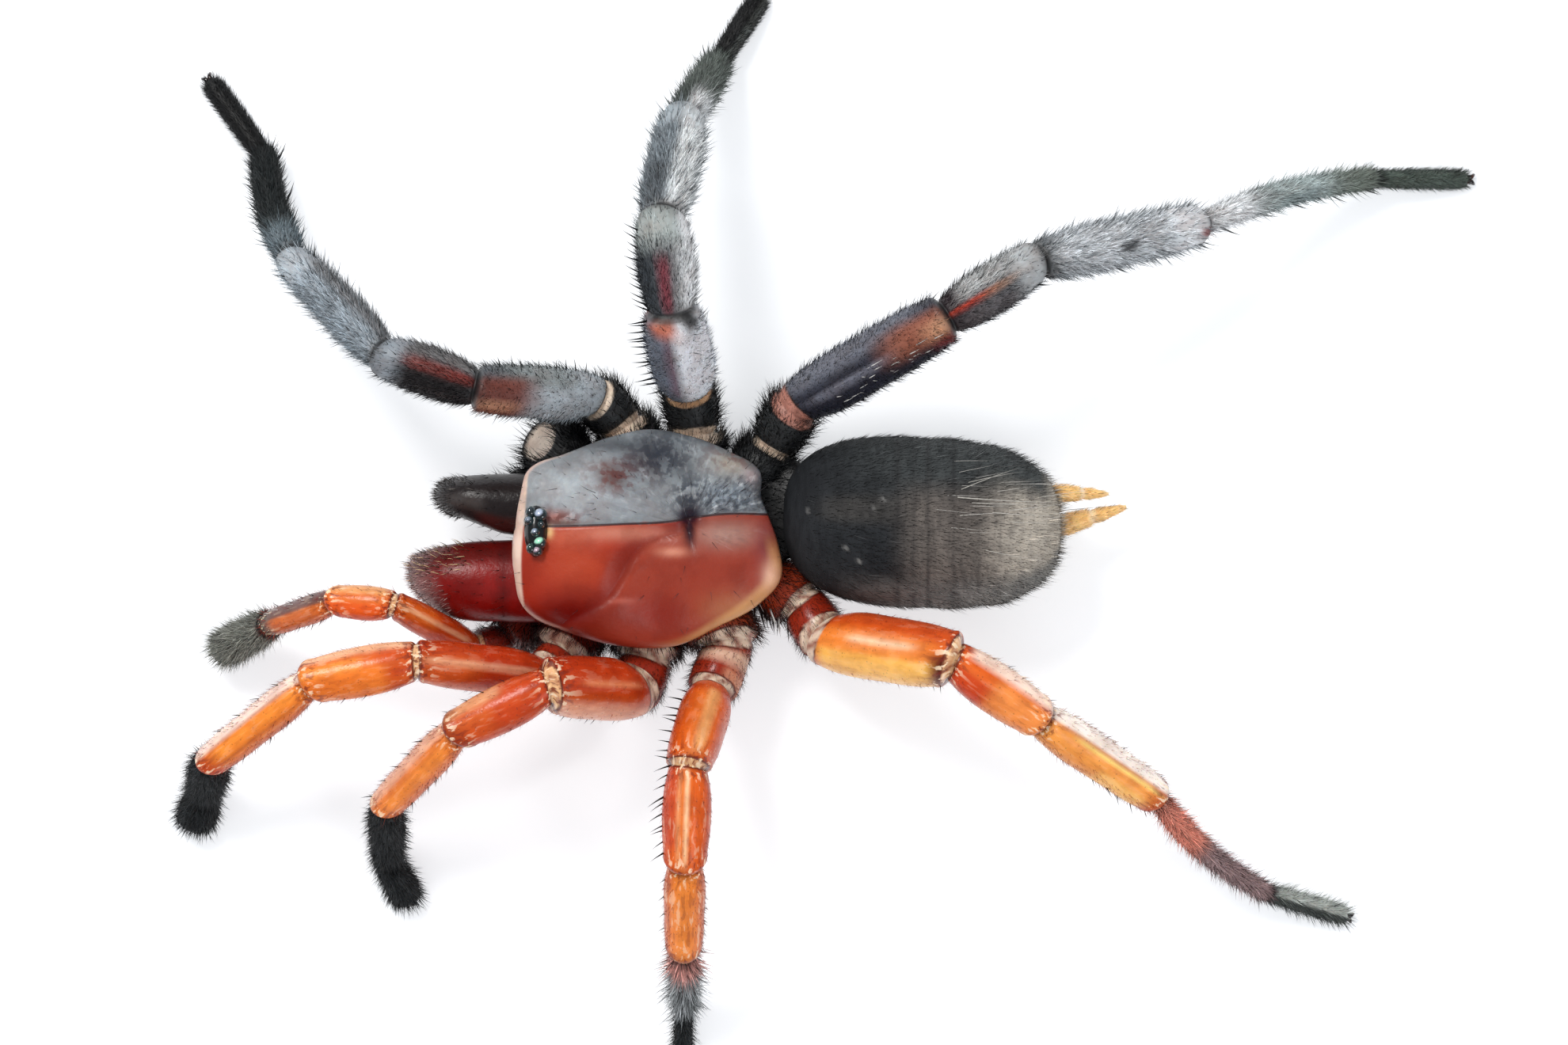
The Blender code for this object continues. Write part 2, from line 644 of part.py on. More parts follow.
def plan_limb(name, row, kinds):
    """Joints, directions and sizes of a limb, from its row of measurements."""
    place_x, place_z, side, path = row
    root, outward = hip(place_x, side)
    root.z = place_z
    joints = [root]
    for reach, heading, height, width in path:
        joint = joints[-1] + heading_vector(heading) * reach
        joint.z = TIP_HEIGHT * width if height is None else height
        joints.append(joint)
    runs, normals = joint_normals(joints, outward)
    half_widths = [row[3] / 2.0 for row in path]
    half_depths = [half * DEPTHS.get(kind, 1.0) for half, kind in zip(half_widths, kinds)]
    return {"joints": joints, "runs": runs, "normals": normals, "kinds": kinds,
            "half_widths": half_widths, "half_depths": half_depths,
            "bow": BOWS.get(name, 0.0), "outward": outward, "ends": list(zip(joints, joints[1:]))}


def shorten(limb, first, last):
    """Move the ends of a node's segments back from its neighbours by half a gap."""
    start, end = limb["ends"][first]
    if first > 0:
        lean = limb["runs"][first].dot(limb["normals"][first])
        start = start + limb["runs"][first] * (GAP / 2.0 / lean)
    limb["ends"][first] = (start, end)
    start, end = limb["ends"][last]
    if last + 1 < len(limb["runs"]):
        lean = limb["runs"][last].dot(limb["normals"][last + 1])
        end = end - limb["runs"][last] * (GAP / 2.0 / lean)
    limb["ends"][last] = (start, end)


def make_limb(name, row, kinds, nodes, colour, spine_rows, draw):
    """All nodes of one limb, each a gap apart from the next."""
    limb = plan_limb(name, row, kinds)
    for node, members in nodes.items():
        shorten(limb, members[0], members[-1])
        rings = limb_rings(limb, members[0], members[-1])
        if members[0] == 0:
            rings.insert(0, root_ring(limb["joints"], limb["outward"], row[3][0][3]))
        part = add_part("{}_{}".format(name, node), loft(on_floor(rings)), colour)
        pieces = []
        for i in members:
            if kinds[i] in spine_rows:
                pieces += limb_spines(limb, i, spine_rows[kinds[i]], draw)
        if node == "foot":
            pieces += claw_meshes(limb["joints"][-1], limb["runs"][-1])
        if pieces:
            fuse(part, pieces)


def stand_on_origin(spider):
    """Shift every mesh so that the origin is under the middle of the whole spider."""
    bpy.context.view_layer.update()
    corners = [Vector(corner) for part in spider.objects for corner in part.bound_box]
    middle = Vector((
        (min(c.x for c in corners) + max(c.x for c in corners)) / 2.0,
        (min(c.y for c in corners) + max(c.y for c in corners)) / 2.0,
        0.0))
    for part in spider.objects:
        part.data.transform(Matrix.Translation(-middle))


def main():
    for old in list(bpy.data.objects):
        bpy.data.objects.remove(old)
    spider = bpy.data.collections.new("trapdoor_spider")
    bpy.context.scene.collection.children.link(spider)
    make_core()
    make_carapace()
    make_eye_mound()
    draw = random.Random(SPINE_SEED)
    make_jaw("chelicera_left", LEFT_JAW, DARK_RED, draw)
    make_jaw("chelicera_right", RIGHT_JAW, CHARCOAL, draw)
    make_fang("fang_left", LEFT_JAW, LEFT_FANG_Y, DARK_RED)
    make_fang("fang_right", RIGHT_JAW, RIGHT_FANG_Y, CHARCOAL)
    make_waist()
    make_abdomen()
    for name, shape in SPINNERETS.items():
        make_spinneret(name, shape)
    for name, row in LEGS.items():
        colour = ORANGE if row[2] < 0 else GREY
        rows = COMB_SPINES if name == "leg_left_3" else LEG_SPINES
        make_limb(name, row, LEG_SEGMENTS, LEG_NODES, colour, rows, draw)
    make_limb("palp_left", LEFT_PALP, PALP_SEGMENTS, PALP_NODES, ORANGE, PALP_SPINES, draw)
    make_limb("palp_right", RIGHT_PALP, PALP_SEGMENTS, PALP_NODES, GREY, {}, draw)
    make_limb("leg_right_1", LOST_LEG, ("coxa",), {"coxa": (0,)}, CHARCOAL, {}, draw)
    stand_on_origin(spider)


main()
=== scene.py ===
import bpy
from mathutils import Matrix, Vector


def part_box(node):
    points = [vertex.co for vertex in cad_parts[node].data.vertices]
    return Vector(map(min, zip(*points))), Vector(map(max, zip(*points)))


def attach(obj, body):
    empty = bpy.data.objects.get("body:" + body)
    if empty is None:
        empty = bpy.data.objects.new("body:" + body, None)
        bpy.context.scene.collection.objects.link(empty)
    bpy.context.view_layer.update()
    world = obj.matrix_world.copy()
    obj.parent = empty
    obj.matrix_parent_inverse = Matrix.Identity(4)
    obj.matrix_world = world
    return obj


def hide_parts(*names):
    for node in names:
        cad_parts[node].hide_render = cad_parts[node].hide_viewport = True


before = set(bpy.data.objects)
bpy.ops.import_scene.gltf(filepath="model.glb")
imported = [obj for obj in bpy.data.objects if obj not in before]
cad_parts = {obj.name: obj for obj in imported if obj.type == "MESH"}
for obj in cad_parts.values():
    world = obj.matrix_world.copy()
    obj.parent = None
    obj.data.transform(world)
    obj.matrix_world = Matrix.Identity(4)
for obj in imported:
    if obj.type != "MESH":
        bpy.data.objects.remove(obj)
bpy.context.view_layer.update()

# %% [markdown]
# # A trapdoor spider that is male on one side and female on the other
# The solids above give this spider its size and its pose. This lesson dresses them:
# every limb gets one unbroken skin with joint membranes, the shield over the fore body
# gets its two colours and its grooves, and Geometry Nodes grow the hair and the spines.
# The head looks along -X, the spider's right side is at +Y and the floor is z = 0.
# Lengths are written in millimetres, as a maker would note them, and one function
# moves them onto the solids and turns them into metres. FAR stands for out of reach.

# %% Units and place
import math

import bmesh
import bpy
import numpy as np

MM = 0.001
link_object = bpy.context.scene.collection.objects.link
UP = np.array((0.0, 0.0, 1.0))
FAR = 9.0
CORE_CENTRE = np.array((-6.5, 0.2, 0.0))

low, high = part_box("sternum")
SHIFT = np.array(((low.x + high.x) / 2.0, (low.y + high.y) / 2.0, 0.0)) / MM - CORE_CENTRE


def place(points):
    """Millimetres on the plan to metres on the solids."""
    return (np.asarray(points, float) + SHIFT) * MM


def unit(vector):
    """The same direction with length 1."""
    return vector / np.linalg.norm(vector, axis=-1, keepdims=True)


def circle(count):
    """Evenly spaced angles of a full turn."""
    return 2.0 * np.pi * np.arange(count) / count


print("plan sits", SHIFT.round(3), "mm off the frame's origin")

# %% [markdown]
# ## Camera, floor and light
# The animal was pictured from straight above, so the camera looks straight down. A very
# long lens far away keeps the high knees from growing in the picture, which a short lens
# would do. The floor is plain and nearly white. A bright, even sky fills the shadows as
# a white tent does on a copy stand, and one large soft panel from the head's right side
# gives the shell its long highlights.

# %% Camera, floor and light
VIEW_WIDTH = 55.44
VIEW_CENTRE = np.array((-1.288, 0.616, 0.0))
LENS = 400.0
SENSOR = 36.0
MID_HEIGHT = 3.5
SKY_LIGHT = 0.8
SKY_IN_GLOSS = 0.22
FLOOR_HALF = 0.6

camera = bpy.data.objects.new("camera", bpy.data.cameras.new("camera"))
camera.data.lens = LENS
camera.data.sensor_width = SENSOR
camera.location = place(VIEW_CENTRE + UP * (MID_HEIGHT + VIEW_WIDTH * LENS / SENSOR))
link_object(camera)
bpy.context.scene.camera = camera
bpy.context.scene.view_settings.view_transform = "Standard"


def soft_panel(name, position, size, power, colour):
    """A square area light at a place in millimetres that looks at the spider."""
    data = bpy.data.lights.new(name, "AREA")
    data.size = size * MM
    data.energy = power
    data.color = colour
    lamp = bpy.data.objects.new(name, data)
    lamp.location = place(position)
    aim = bpy.data.objects["camera"].location.copy()
    aim.z = 0.0
    lamp.rotation_euler = (lamp.location - aim).to_track_quat("Z", "Y").to_euler()
    link_object(lamp)


soft_panel("key", (-120.0, 170.0, 260.0), 90.0, 0.66, (1.0, 0.985, 0.96))
soft_panel("fill", (160.0, -150.0, 200.0), 110.0, 0.13, (0.95, 0.97, 1.0))

world = bpy.data.worlds.new("white_tent")
world.use_nodes = True
sky = world.node_tree.nodes["Background"]
sky.inputs["Color"].default_value = (0.94, 0.97, 1.0, 1.0)
rays = world.node_tree.nodes.new("ShaderNodeLightPath")
dim = world.node_tree.nodes.new("ShaderNodeMapRange")
dim.inputs["To Min"].default_value = SKY_LIGHT
dim.inputs["To Max"].default_value = SKY_IN_GLOSS
world.node_tree.links.new(rays.outputs["Is Glossy Ray"], dim.inputs["Value"])
world.node_tree.links.new(dim.outputs["Result"], sky.inputs["Strength"])
bpy.context.scene.world = world

floor_mesh = bpy.data.meshes.new("floor")
floor_mesh.from_pydata([(-FLOOR_HALF, -FLOOR_HALF, 0.0), (FLOOR_HALF, -FLOOR_HALF, 0.0),
                        (FLOOR_HALF, FLOOR_HALF, 0.0), (-FLOOR_HALF, FLOOR_HALF, 0.0)],
                       [], [(0, 1, 2, 3)])
floor = bpy.data.objects.new("floor", floor_mesh)
floor_paint = bpy.data.materials.new("pale_floor")
floor_paint.use_nodes = True
floor_shader = floor_paint.node_tree.nodes["Principled BSDF"]
floor_shader.inputs["Base Color"].default_value = (0.56, 0.57, 0.585, 1.0)
floor_shader.inputs["Emission Color"].default_value = (0.97, 0.98, 1.0, 1.0)
floor_shader.inputs["Emission Strength"].default_value = 0.55
floor_shader.inputs["Roughness"].default_value = 0.9
floor_mesh.materials.append(floor_paint)
link_object(floor)
print("camera", [round(v, 4) for v in camera.location])

# %% [markdown]
# ## Colours
# The palette is a short list of named colours, written as a painter reads them from a
# colour card. The mesh keeps a colour for each point, which the material then breaks up
# with fine noise. Painting by point lets a marking follow a limb or stop at a groove.

# %% Palette and brushes


def rgb(red, green, blue):
    """Colour card numbers from 0 to 255 as linear light."""
    share = np.array((red, green, blue)) / 255.0
    return np.where(share <= 0.04045, share / 12.92, ((share + 0.055) / 1.055) ** 2.4)


ORANGE = rgb(220, 94, 26)
RED_ORANGE = rgb(190, 52, 18)
BRIGHT_ORANGE = rgb(232, 124, 42)
PAINTED_GLOW = rgb(246, 170, 88)
RUST = rgb(140, 46, 24)
WINE = rgb(92, 20, 18)
CREAM = rgb(232, 212, 190)
TAN = rgb(214, 170, 128)
SALMON = rgb(188, 128, 112)
BLACK = rgb(20, 21, 23)
SOOT = rgb(42, 45, 47)
SLATE = rgb(92, 97, 103)
ASH = rgb(150, 157, 162)
OLIVE_GREY = rgb(74, 82, 78)


def soft_step(value, edge, width):
    """Rise from 0 to 1 across an edge, over a width."""
    share = np.clip((value - edge) / width + 0.5, 0.0, 1.0)
    return share * share * (3.0 - 2.0 * share)


def window(value, low_edge, high_edge, width):
    """1 between two edges and 0 outside them, with soft borders."""
    return soft_step(value, low_edge, width) * (1.0 - soft_step(value, high_edge, width))


def bell(value, width):
    """1 at 0, falling off softly on both sides."""
    return np.exp(-(value / width) ** 2)


def brush(tone, mask, colour):
    """Lay a colour over a tone where the mask is 1."""
    return tone + (colour - tone) * mask[..., None]


def curve(x, knots):
    """Smooth curve through a few (place, value) pairs."""
    places, values = np.array(knots, float).T
    slopes = np.gradient(values, places)
    x = np.clip(x, places[0], places[-1])
    i = np.clip(np.searchsorted(places, x, side="right") - 1, 0, len(places) - 2)
    span = places[i + 1] - places[i]
    u = (x - places[i]) / span
    return ((2 * u ** 3 - 3 * u ** 2 + 1) * values[i] + (3 * u ** 2 - 2 * u ** 3) * values[i + 1]
            + span * ((u ** 3 - 2 * u ** 2 + u) * slopes[i] + (u ** 3 - u ** 2) * slopes[i + 1]))


print("rust is", RUST.round(3), "in linear light")

# %% [markdown]
# ## From rings to a mesh
# Nearly everything on this animal is a tube that swells and narrows: legs, jaws, belly,
# spinnerets. A ring of points for each station along the tube is easy to shape with
# plain arithmetic, and joining the rings gives clean quads that shade softly. The two
# open ends close on a pole. The mesh also gets a flat unwrap, one column for each side,
# because every hair will remember the spot of the unwrap that it grows from.

# %% Make a piece from rings


def keep_at_points(mesh, values):
    """Store named values at a mesh's points. A name that ends in tone is a colour."""
    for key, value in values.items():
        kind, slot_name = {1: ("FLOAT", "value"), 2: ("FLOAT_VECTOR", "vector")}[value.ndim]
        if key.endswith("tone"):
            kind, slot_name = "FLOAT_COLOR", "color"
            value = np.column_stack((value, np.ones(len(value))))
        attribute = mesh.attributes.new(key, kind, "POINT")
        attribute.data.foreach_set(slot_name, value.astype(np.float32).ravel())


def make_piece(name, points, faces, unwrap, values, material):
    """A smooth mesh object with named values at its points."""
    mesh = bpy.data.meshes.new(name)
    mesh.from_pydata(place(points).tolist(), [], faces)
    layer = mesh.uv_layers.new(name="Unwrap")
    layer.data.foreach_set("uv", np.asarray(unwrap, np.float32).ravel())
    keep_at_points(mesh, values)
    work = bmesh.new()
    work.from_mesh(mesh)
    bmesh.ops.recalc_face_normals(work, faces=work.faces)
    work.to_mesh(mesh)
    work.free()
    mesh.shade_smooth()
    mesh.materials.append(material)
    piece = bpy.data.objects.new(name, mesh)
    link_object(piece)
    return piece


def tube(name, rings, values, material, pole_reach=0.3):
    """Close a stack of rings into a piece. Each value has the rings' own rows and columns."""
    count, sides = rings.shape[:2]
    points = rings.reshape(-1, 3)
    poles = []
    for edge, next_ring in ((0, 1), (-1, -2)):
        middle = rings[edge].mean(axis=0)
        girth = np.linalg.norm(rings[edge] - middle, axis=1).mean()
        away = unit(middle - rings[next_ring].mean(axis=0))
        poles.append(middle + away * girth * pole_reach)
    points = np.vstack((points, poles))
    faces, unwrap = [], []
    last = count * sides
    for row in range(count - 1):
        for side in range(sides):
            after = (side + 1) % sides
            faces.append((row * sides + side, row * sides + after,
                          (row + 1) * sides + after, (row + 1) * sides + side))
            near, far = row / count, (row + 1) / count
            unwrap += [(near, side / sides), (near, (side + 1) / sides),
                       (far, (side + 1) / sides), (far, side / sides)]
    for row, pole in ((0, last), (count - 1, last + 1)):
        for side in range(sides):
            after = (side + 1) % sides
            faces.append((row * sides + side, row * sides + after, pole))
            unwrap += [(row / count, side / sides), (row / count, (side + 1) / sides),
                       (row / count, (side + 0.5) / sides)]
    table = {}
    for key, value in values.items():
        flat = value.reshape(count * sides, *value.shape[2:])
        ends = [value[0].mean(axis=0), value[-1].mean(axis=0)]
        table[key] = np.concatenate((flat, np.array(ends)))
    return make_piece(name, points, faces, unwrap, table, material)


print("tube() joins rings into closed skins")

# %% [markdown]
# ## Materials
# Spider shell is chitin: smooth, faintly see-through and waxy, with tiny pits where hairs
# sit. A Principled shader does this with the painted colour, a little noise over it, a
# low bump and some light that travels under the surface. Noise is scaled in object
# coordinates, so that its grain keeps its true size on every piece.

# %% Material helpers


def find_socket(sockets, key):
    """A socket by its name, among those that are in use, or by its number."""
    if isinstance(key, int):
        return sockets[key]
    return next(item for item in sockets if item.name == key and item.enabled)


def feed(tree, node, values):
    """Give a node's inputs plain values, or links from other nodes' sockets."""
    for key, value in values.items():
        target = find_socket(node.inputs, key)
        if isinstance(value, bpy.types.NodeSocket):
            tree.links.new(value, target)
        else:
            target.default_value = value
    return node


def add_node(tree, kind, values=None, **settings):
    """A new node with its settings, and with values or links on its inputs."""
    node = tree.nodes.new(kind)
    for key, value in settings.items():
        setattr(node, key, value)
    return feed(tree, node, values or {})


def math_node(tree, operation, *values):
    """One step of arithmetic."""
    return add_node(tree, "ShaderNodeMath", dict(enumerate(values)), operation=operation).outputs[0]


def vector_node(tree, operation, *vectors, scale=None):
    """One step of arithmetic with vectors."""
    values = dict(enumerate(vectors))
    if scale is not None:
        values["Scale"] = scale
    return add_node(tree, "ShaderNodeVectorMath", values, operation=operation).outputs[0]


def millimetres(tree):
    """Object coordinates as millimetres."""
    spot = add_node(tree, "ShaderNodeTexCoord").outputs["Object"]
    return vector_node(tree, "SCALE", spot, scale=1.0 / MM)


def noise(tree, coordinates, scale, detail=3.0):
    """Soft noise with so many waves to a millimetre."""
    return add_node(tree, "ShaderNodeTexNoise", {
        "Vector": coordinates, "Scale": scale, "Detail": detail}).outputs[0]


def ramp(tree, value, low_edge, high_edge, low_value=0.0, high_value=1.0):
    """Stretch a value between two edges, and stop at them."""
    return add_node(tree, "ShaderNodeMapRange", {
        "Value": value, "From Min": low_edge, "From Max": high_edge,
        "To Min": low_value, "To Max": high_value}, interpolation_type="SMOOTHSTEP").outputs[0]


def blend(tree, share, first, second, mode="MIX"):
    """Mix two colours by a share."""
    node = add_node(tree, "ShaderNodeMix", {"Factor": share, "A": first, "B": second},
                    data_type="RGBA", blend_type=mode)
    return find_socket(node.outputs, "Result")


def stain(tree, base, mask, pattern, edges, colour):
    """Lay a colour over a base where a mask and a pattern meet."""
    share = math_node(tree, "MULTIPLY", mask, ramp(tree, pattern, *edges))
    return blend(tree, share, base, colour)


def point_value(tree, name, output="Color"):
    """A value that the mesh keeps at its points."""
    return add_node(tree, "ShaderNodeAttribute", attribute_name=name).outputs[output]


def raise_surface(tree, height, strength, depth, under=None):
    """Bump from a height field, with its depth in millimetres."""
    values = {"Height": height, "Strength": strength, "Distance": depth * MM}
    if under:
        values["Normal"] = under
    return add_node(tree, "ShaderNodeBump", values).outputs[0]


def start_material(name, **plain):
    """A material with one Principled shader, and plain values on its sockets."""
    material = bpy.data.materials.new(name)
    material.use_nodes = True
    tree = material.node_tree
    shader = tree.nodes["Principled BSDF"]
    for key, value in plain.items():
        shader.inputs[key.replace("_", " ").title().replace("Ior", "IOR")].default_value = value
    return material, tree, shader


print("material helpers ready")

# %% Chitin and hair
PIT_BLACK = (0.02, 0.015, 0.015, 1.0)
GLINT_CREAM = (0.93, 0.72, 0.5, 1.0)
FLECK_RED = (0.16, 0.02, 0.012, 1.0)
WET_SHARE = 0.42


def make_chitin(name, rough, mottle, dark_specks, under_light, grain, shine=0.5):
    """Shell that takes its colour from the painted points."""
    material, tree, shader = start_material(
        name, subsurface_weight=under_light, subsurface_scale=0.45 * MM, specular_ior_level=shine,
        subsurface_radius=(1.0, 0.36, 0.12))
    where = millimetres(tree)
    fine = noise(tree, where, 9.0, 4.0)
    tone = point_value(tree, "tone")
    deep = blend(tree, 1.0, tone, (0.62, 0.5, 0.46, 1.0), "MULTIPLY")
    painted = blend(tree, ramp(tree, noise(tree, where, 1.3), 0.35, 0.72, 0.0, mottle), tone, deep)
    cells = add_node(tree, "ShaderNodeTexVoronoi", {"Vector": where, "Scale": 5.5})
    pits = cells.outputs["Distance"]
    painted = blend(tree, ramp(tree, pits, 0.1, 0.2, dark_specks, 0.0), painted, PIT_BLACK)
    unwrap = add_node(tree, "ShaderNodeUVMap", uv_map="Unwrap").outputs[0]
    stretch = add_node(tree, "ShaderNodeMapping", {"Vector": unwrap, "Scale": (34.0, 15.0, 1.0)})
    folds = noise(tree, stretch.outputs[0], 1.5)
    painted = blend(tree, ramp(tree, folds, 0.3, 0.62, 0.5 * mottle, 0.0), painted, deep)
    crackle_and_glint = point_value(tree, "crackle_and_glint", "Fac")
    # Pale flecks here are painted glints; the dark red flecks are fine folds of the shell.
    painted = stain(tree, painted, crackle_and_glint, folds, (0.55, 0.62, 0.0, 1.0), GLINT_CREAM)
    painted = stain(tree, painted, crackle_and_glint, folds, (0.38, 0.45, 1.0, 0.0), FLECK_RED)
    smooth = ramp(tree, point_value(tree, "wet", "Fac"), 0.0, 1.0, rough, rough * WET_SHARE)
    waves = raise_surface(tree, noise(tree, where, 3.0), 0.35, 0.05)
    dimples = raise_surface(tree, ramp(tree, pits, 0.0, 0.22), 0.3, 0.02, waves)
    feed(tree, shader, {"Base Color": painted,
                        "Roughness": math_node(tree, "MULTIPLY_ADD", fine, 0.16, smooth),
                        "Normal": raise_surface(tree, fine, grain, 0.02, dimples)})
    return material


def make_hair(name, rough, shine):
    """Hair that keeps the colour of the skin's point it grows from."""
    material, tree, shader = start_material(name, roughness=rough, specular_ior_level=shine)
    streak = ramp(tree, noise(tree, millimetres(tree), 14.0), 0.3, 0.75, 0.0, 0.45)
    tone = point_value(tree, "hair_tone")
    darker = blend(tree, 1.0, tone, (0.45, 0.43, 0.42, 1.0), "MULTIPLY")
    feed(tree, shader, {"Base Color": blend(tree, streak, tone, darker)})
    return material


orange_chitin = make_chitin("orange_chitin", rough=0.33, mottle=0.5, dark_specks=0.35,
                            under_light=0.2, grain=0.3, shine=0.26)
grey_chitin = make_chitin("grey_chitin", rough=0.5, mottle=0.6, dark_specks=0.55,
                          under_light=0.03, grain=0.5)
soft_hair = make_hair("soft_hair", rough=0.5, shine=0.35)
bristle_hair = make_hair("bristle_hair", rough=0.35, shine=0.5)
print("chitin and hair made")

# %% [markdown]
# ## The plan of the limbs
# A spider's leg has seven segments: coxa, trochanter, femur, patella, tibia, metatarsus
# and tarsus. Each row below repeats the plan of the solids: how far a segment reaches
# over the floor, its heading, the height of its far end (None for a foot on the floor)
# and its greatest width. Before them stand the hip's place along the body, its height
# and its side, -1 for the left. The skins then sit where the solids are.

# %% Limb rows
LEG_KINDS = ("coxa", "trochanter", "femur", "patella", "tibia", "metatarsus", "tarsus")
PALP_KINDS = ("coxa", "trochanter", "femur", "patella", "tibia", "tarsus")
LEG_HIP = 2.6
PALP_HIP = 2.25
LIMBS = {
    "leg_left_1": (-8.2, LEG_HIP, -1, (
        (2.2, -116, 2.8, 1.8), (1.0, -124, 3.6, 1.6), (4.45, 173, 6.6, 1.75),
        (3.8, -169, 6.3, 1.8), (4.6, -142, 3.3, 1.4), (1.25, -106, 1.1, 1.35),
        (1.2, -108, None, 1.35))),
    "leg_left_2": (-6.35, LEG_HIP, -1, (
        (2.1, -83, 2.8, 1.85), (1.25, -114, 3.3, 2.0), (2.95, 176, 6.9, 2.3),
        (3.6, -154, 6.6, 1.7), (3.7, -134, 3.5, 1.4), (2.0, -90, 1.1, 1.2),
        (1.7, -64, None, 1.1))),
    "leg_left_3": (-4.45, LEG_HIP, -1, (
        (2.1, -56, 2.8, 1.8), (1.85, -111, 3.4, 1.9), (2.65, -107, 7.2, 1.9),
        (3.4, -92, 6.7, 1.75), (3.1, -91, 4.0, 1.5), (2.05, -90, 1.1, 0.82),
        (2.7, -92, None, 0.62))),
    "leg_left_4": (-2.75, LEG_HIP, -1, (
        (2.25, -33, 2.8, 1.5), (1.5, -58, 3.3, 1.9), (4.55, -9, 7.0, 2.4),
        (3.65, -34, 6.6, 1.8), (5.0, -34, 3.8, 1.6), (5.25, -41, 1.0, 0.76),
        (3.1, -17, None, 0.64))),
    "leg_right_2": (-6.4, LEG_HIP, 1, (
        (1.7, 112, 2.7, 1.6), (1.35, 133, 3.3, 1.85), (4.15, 176, 6.8, 1.9),
        (3.45, 161, 6.5, 1.7), (4.8, 134, 3.7, 1.45), (3.85, 106, 1.0, 1.15),
        (3.35, 126, None, 0.76))),
    "leg_right_3": (-4.6, LEG_HIP, 1, (
        (1.5, 86, 2.6, 1.6), (1.6, 99, 3.3, 1.9), (2.6, 102, 7.6, 2.3),
        (3.35, 96, 7.2, 2.0), (3.65, 78, 4.2, 1.8), (2.35, 60, 1.0, 1.25),
        (2.9, 57, None, 0.78))),
    "leg_right_4": (-2.95, LEG_HIP, 1, (
        (2.0, 58, 2.8, 1.5), (1.7, 60, 3.4, 1.9), (6.05, 30, 7.2, 2.1),
        (3.75, 32, 6.8, 1.7), (5.95, 13, 4.2, 1.65), (6.45, 15, 1.0, 0.88),
        (3.45, 0, None, 0.66))),
    "palp_left": (-9.75, PALP_HIP, -1, (
        (2.3, -122, 2.0, 1.5), (1.2, -160, 2.4, 1.15), (3.15, 151, 5.5, 1.15),
        (2.1, 176, 5.0, 1.25), (2.5, -161, 2.6, 1.05), (2.2, -152, 0.95, 1.25))),
    "palp_right": (-9.75, PALP_HIP, 1, (
        (1.1, 176, 1.9, 0.72), (0.5, -172, 1.75, 0.7), (1.3, -178, 1.68, 0.6),
        (0.12, 180, 0.66, 0.56), (1.3, -8, 0.6, 0.52), (0.9, -6, 0.5, 0.5))),
    "leg_right_1": (-8.15, LEG_HIP, 1, ((2.05, 148, 2.75, 1.8),)),
}
NO_CLAWS = ("leg_right_1", "palp_right")
BOWS = {"leg_left_4": 0.3, "leg_right_2": -0.2, "leg_right_4": -0.28}
TIP_HEIGHT = 0.2
DEPTHS = {"coxa": 1.1, "trochanter": 1.05, "femur": 1.1}
GIRTHS = {
    "coxa": ((0.0, 1.0), (0.5, 1.42), (0.85, 1.3), (1.0, 1.0)),
    "trochanter": ((0.0, 0.86), (0.5, 1.0), (0.85, 0.97), (1.0, 0.88)),
    "femur": ((0.0, 0.76), (0.2, 0.97), (0.5, 1.0), (0.82, 0.96), (1.0, 0.84)),
    "patella": ((0.0, 0.78), (0.25, 0.97), (0.7, 1.0), (1.0, 0.86)),
    "tibia": ((0.0, 0.78), (0.2, 0.98), (0.6, 0.98), (0.9, 0.92), (1.0, 0.82)),
    "metatarsus": ((0.0, 0.84), (0.2, 0.99), (0.6, 0.92), (1.0, 0.8)),
    "tarsus": ((0.0, 0.86), (0.3, 0.97), (0.7, 1.0), (0.88, 0.94), (0.96, 0.78), (1.0, 0.5)),
}
CORE_HALF = (4.1, 2.0)
CORE_POWER = 2.4
GAP = 0.3


def heading(degrees):
    """Level direction, counted from +X towards +Y."""
    return np.array((math.cos(math.radians(degrees)), math.sin(math.radians(degrees)), 0.0))


def core_edge(angle):
    """Point on the outline of the fore body's under part, and the outward direction."""
    along = abs(math.cos(angle) / CORE_HALF[0]) ** CORE_POWER
    across = abs(math.sin(angle) / CORE_HALF[1]) ** CORE_POWER
    reach = (along + across) ** (-1.0 / CORE_POWER)
    offset = np.array((math.cos(angle), math.sin(angle), 0.0)) * reach
    slope = CORE_POWER - 1.0
    outward = np.array((
        math.copysign(abs(offset[0] / CORE_HALF[0]) ** slope / CORE_HALF[0], offset[0]),
        math.copysign(abs(offset[1] / CORE_HALF[1]) ** slope / CORE_HALF[1], offset[1]), 0.0))
    return CORE_CENTRE + offset, unit(outward)


def hip(place_x, side):
    """Root of a limb beside the under part, and the direction in which it leaves."""
    along = (place_x - CORE_CENTRE[0]) / CORE_HALF[0]
    across = (1.0 - abs(along) ** CORE_POWER) ** (1.0 / CORE_POWER) * CORE_HALF[1]
    point, outward = core_edge(math.atan2(side * across, place_x - CORE_CENTRE[0]))
    return point + outward * GAP, outward


